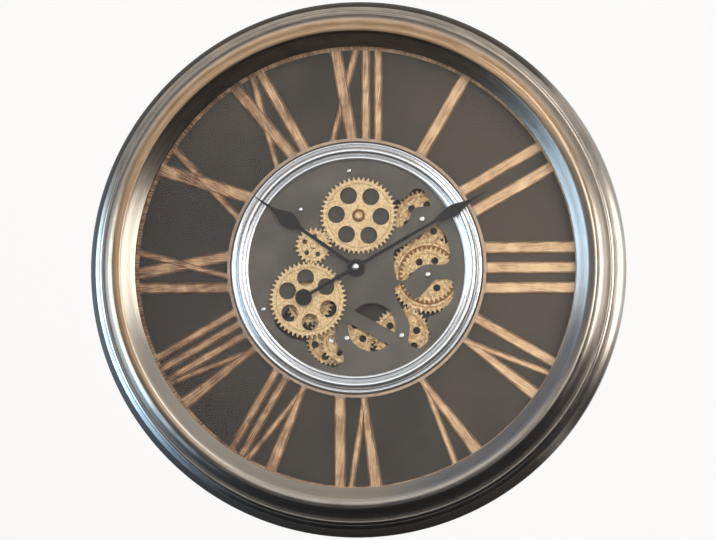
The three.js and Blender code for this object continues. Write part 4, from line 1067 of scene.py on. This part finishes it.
def aged_pewter():
    """Metal rubbed through a dark coat, with painted light and shade. The lip's bronze is kept to the
    upper left, partly as a painted warm reflection. The inner wall carries painted shade at its top,
    painted light lower down and a painted bluish reflection at its lower right. The right side is rubbed
    brighter as painted light, with painted shade on the lip's crest there.
    """
    finish = Finish("aged_pewter")
    worn = finish.node("ShaderNodeAttribute", {"attribute_name": "worn"}).output("Fac")
    brushing, radius = finish.round_the_axis(9, 800)
    across, depth, up = finish.axes()
    fine = finish.grain(brushing, detail=4, roughness=0.6)
    cloud = finish.grain(scale=16, detail=6, roughness=0.62)
    patch = finish.grain(scale=50, detail=4, roughness=0.6)
    lip = finish.within((cloud - 0.5) * 0.012 - radius, -0.254, -0.241)
    # The bronze on the lip is kept to the upper left, where it is partly a painted warm reflection.
    bronze = lip * finish.within(up - across * 0.6, -0.2, 0.1)
    metal = finish.blend(bronze, tone(146, 141, 136), tone(160, 132, 102))
    # The inner wall: painted shade at its top, painted light lower down, and a painted bluish reflection at
    # its lower right.
    low_right = finish.within(across - up, 0.24, 0.31)
    wall = finish.blend(finish.within(up, 0.02, 0.16), tone(188, 183, 176), tone(120, 113, 104))
    wall = finish.blend(low_right, wall, tone(146, 150, 160))
    metal = finish.blend(finish.within(radius, 0.235, 0.231), metal, wall)
    streak = finish.within(fine + (patch - 0.5) * 0.1, 0.36, 0.64)
    metal = finish.blend(streak, finish.blend(0.16, metal, tone(78, 68, 58)),
                         finish.blend(0.2, metal, tone(194, 182, 162)))
    # Painted light: the right side is rubbed brighter; painted shade darkens the lip's crest there.
    right = finish.within(across, 0.14, 0.25)
    crown = finish.within(radius, 0.2305, 0.2325) * finish.within(radius, 0.2395, 0.2375) * right
    rubbed_and_painted_light = finish.within(worn + right * 0.8 + (patch - 0.5) * 0.1 + (fine - 0.5) * 0.3, 0.18, 0.72)
    rubbed_and_painted_light = rubbed_and_painted_light * (1 - crown * 0.75)
    return finish.coat(
        base_color=finish.blend(rubbed_and_painted_light, tone(46, 41, 37), metal),
        metallic=rubbed_and_painted_light,
        roughness=0.24 + fine * 0.12 + (1 - rubbed_and_painted_light) * 0.25,
        specular_ior_level=0.15,
        normal=finish.relief(fine, 0.2, 0.0001))


def bezel_moulding():
    """The moulding's section as runs of points: each with how rubbed it is, sharp between the runs."""
    front = [
        # The outermost run is kept fully dark: a painted dark edge for the shade and dark reflection round
        # the outer rim.
        ([(264.5, 13.5), (267.3, 19), (267.9, 25), (267.2, 31.6), (264.6, 38.4), (261.2, 43.1)], 0.0),
        ([(260.5, 43.9), (258.9, 45.2), (257, 46.6)], 0.8),
        ([(256.2, 47), (254.8, 48.6), (253.2, 49.2), (251.6, 48.8)], 0.95),
        ([(250.6, 51.5), (248.9, 57.5), (246.6, 64), (243.9, 68.8), (241.2, 71)], 0.7),
        ([(240.2, 71.5), (236.6, 72), (233.6, 71.7)], 0.75),
        ([(232.6, 71.2), (230.8, 69.5)], 1.0),
        ([(230, 68.5), (227, 65), (223.2, 60.4), (219.5, 56.3)], 1.0),
    ]
    inner = [(229, glass_front + gap), (229, 58.9), (234.5, 66), (239.5, 67), (241.8, 53.5), (248, 45.2),
             (255, 41), (264, 26), (262, 17.5), (254, 13.5), (252, 13.5), (252, 10), (258, 10)]
    profile = [(*point, rubbed_and_painted_light) for run, rubbed_and_painted_light in front for point in flowing(run, 6, 0.42)]
    profile += [(*point, 0.1) for point in inner]
    rounded = []
    for number, point in enumerate(profile):
        before, corner, after = (Vector(profile[(number + k) % len(profile)][:2]) for k in (-1, 0, 1))
        if (corner - before).angle(after - corner, 0) < 0.35:
            rounded.append(point)
        else:
            edge = 1.0 if (corner - before).cross(after - corner) > 0 else 0.4
            rounded += [(*spot, edge) for spot in corner_round(before, corner, after, 0.7, 4)]
    shape = bmesh.new()
    add_turned(shape, rounded, 256, layer=shape.verts.layers.float.new("worn"))
    return closed(shape)


fitted("bezel", bezel_moulding(), aged_pewter(), "bezel_moulding", smooth=60)


# Studio.
# A pale floor and a white backdrop well behind, with soft cool windows on the left and soft warm
# ones on the right and above. The camera stands a little low and to the right.

def studio_sheet(name, corners, colour, bleached=0.0):
    """A flat sheet of the studio; where it is bleached, it looks that much nearer to plain white."""
    mesh = bpy.data.meshes.new(name)
    mesh.from_pydata(corners, [], [(0, 1, 2, 3)])
    finish = Finish(name + "_paint")
    cloud = finish.grain(scale=0.4, detail=2)
    mesh.materials.append(finish.coat(
        base_color=finish.blend(cloud, colour, shade(colour, 0.98)), roughness=0.9))
    if bleached:
        rays = finish.node("ShaderNodeLightPath")
        seen = (rays.output("Is Camera Ray") + rays.output("Is Glossy Ray")
                + rays.output("Is Transmission Ray"))
        white = finish.node("ShaderNodeEmission", None, {"Color": (1, 1, 1, 1), "Strength": 1.0})
        both = finish.node("ShaderNodeMixShader", None, {
            0: seen * bleached, 1: Wire(finish, finish.shader.outputs[0]), 2: white})
        finish.shown_as(both)
    sheet = bpy.data.objects.new(name, mesh)
    bpy.context.scene.collection.objects.link(sheet)
    return sheet


floor_level, far = -1.7, 9.0
floor = studio_sheet("floor", [(-20, -20, floor_level), (20, -20, floor_level), (20, far, floor_level),
                               (-20, far, floor_level)], tone(190, 186, 182))
floor.visible_glossy = False
studio_sheet("backdrop", [(-20, far, floor_level), (20, far, floor_level), (20, far, 12), (-20, far, 12)],
             tone(240, 236, 233), bleached=0.8)


def soft_window(name, at, aim, wide, tall, radiance, colour):
    light = bpy.data.lights.new(name, "AREA")
    light.shape, light.size, light.size_y = "RECTANGLE", wide, tall
    light.energy, light.color = radiance * math.pi * wide * tall, colour
    lamp = bpy.data.objects.new(name, light)
    lamp.location = at
    lamp.rotation_euler = (Vector(aim) - Vector(at)).to_track_quat("-Z", "Y").to_euler()
    lamp.visible_camera = False
    bpy.context.scene.collection.objects.link(lamp)


middle = (0, -0.04, 0)
soft_window("cool_window", (-3.2, 0.2, -0.48), (0, 0.2, 0), 4.4, 2.4, 4.2, (0.43, 0.69, 1.0))
soft_window("low_window", (-2.5, 0.2, -1.45), (0, 0.2, 0), 2.4, 1.2, 1.7, (0.42, 0.68, 1.0))
soft_window("cool_strip", (-3.1, 0.35, -0.2), (0, 0.35, 0), 1.5, 2.2, 5.0, (0.68, 0.85, 1.0))
soft_window("warm_window", (3.2, 0.7, 0.1), (0, 0.7, 0), 3.4, 1.9, 2.4, (1.0, 0.92, 0.82))
soft_window("warm_strip", (3.1, 0.35, 0.1), (0, 0.35, 0), 1.5, 1.9, 5.5, (1.0, 0.96, 0.9))
soft_window("near_lamp", (0.75, -1.5, 0.15), middle, 0.6, 0.6, 7.0, (1.0, 0.95, 0.87))
soft_window("high_window", (2.3, -2.7, 2.6), middle, 1.7, 1.7, 5.0, (1.0, 0.95, 0.88))
soft_window("front_sheet", (-0.6, -6.0, 1.2), middle, 4.6, 3.4, 1.0, (1.0, 0.98, 0.96))
soft_window("warm_ceiling", (0, 1.7, 3.0), (0, 1.7, 0), 8, 4, 0.5, (1.0, 0.77, 0.56))
soft_window("backdrop_wash", (0, 5.0, 3.5), (0, far, 0.2), 6, 2, 2.6, (1.0, 0.98, 0.96))

# The air is pale overhead and dark below.
world = bpy.data.worlds.new("studio_air")
bpy.context.scene.world = world
world.use_nodes = True
air = Bench(world.node_tree)
height = air.parts(air.node("ShaderNodeTexCoord").output("Generated"))[2]
sky = air.node("ShaderNodeValToRGB", {"stops": [
    (0.0, (0.03, 0.03, 0.032, 1)), (0.44, (0.07, 0.07, 0.075, 1)), (0.52, (0.40, 0.39, 0.38, 1)),
    (1.0, (0.9, 0.88, 0.85, 1))]}, {"Fac": height * 0.5 + 0.5})
background = world.node_tree.nodes["Background"]
world.node_tree.links.new(sky.socket, background.inputs["Color"])
background.inputs["Strength"].default_value = 1.0

bpy.context.scene.view_settings.view_transform = "Standard"

camera_data = bpy.data.cameras.new("camera")
camera_distance = 4.5
camera_data.lens = 50.4 * camera_distance      # shows the clock equally large from any distance
camera_data.clip_end = 100
camera = bpy.data.objects.new("camera", camera_data)
azimuth, elevation = math.radians(4.7), math.radians(-4.5)
back = Vector((math.sin(azimuth) * math.cos(elevation), -math.cos(azimuth) * math.cos(elevation),
               math.sin(elevation)))
camera.location = Vector((0.0005, -0.026, -0.0013)) + back * camera_distance
camera.rotation_euler = (-back).to_track_quat("-Z", "Y").to_euler()
bpy.context.scene.collection.objects.link(camera)
bpy.context.scene.camera = camera
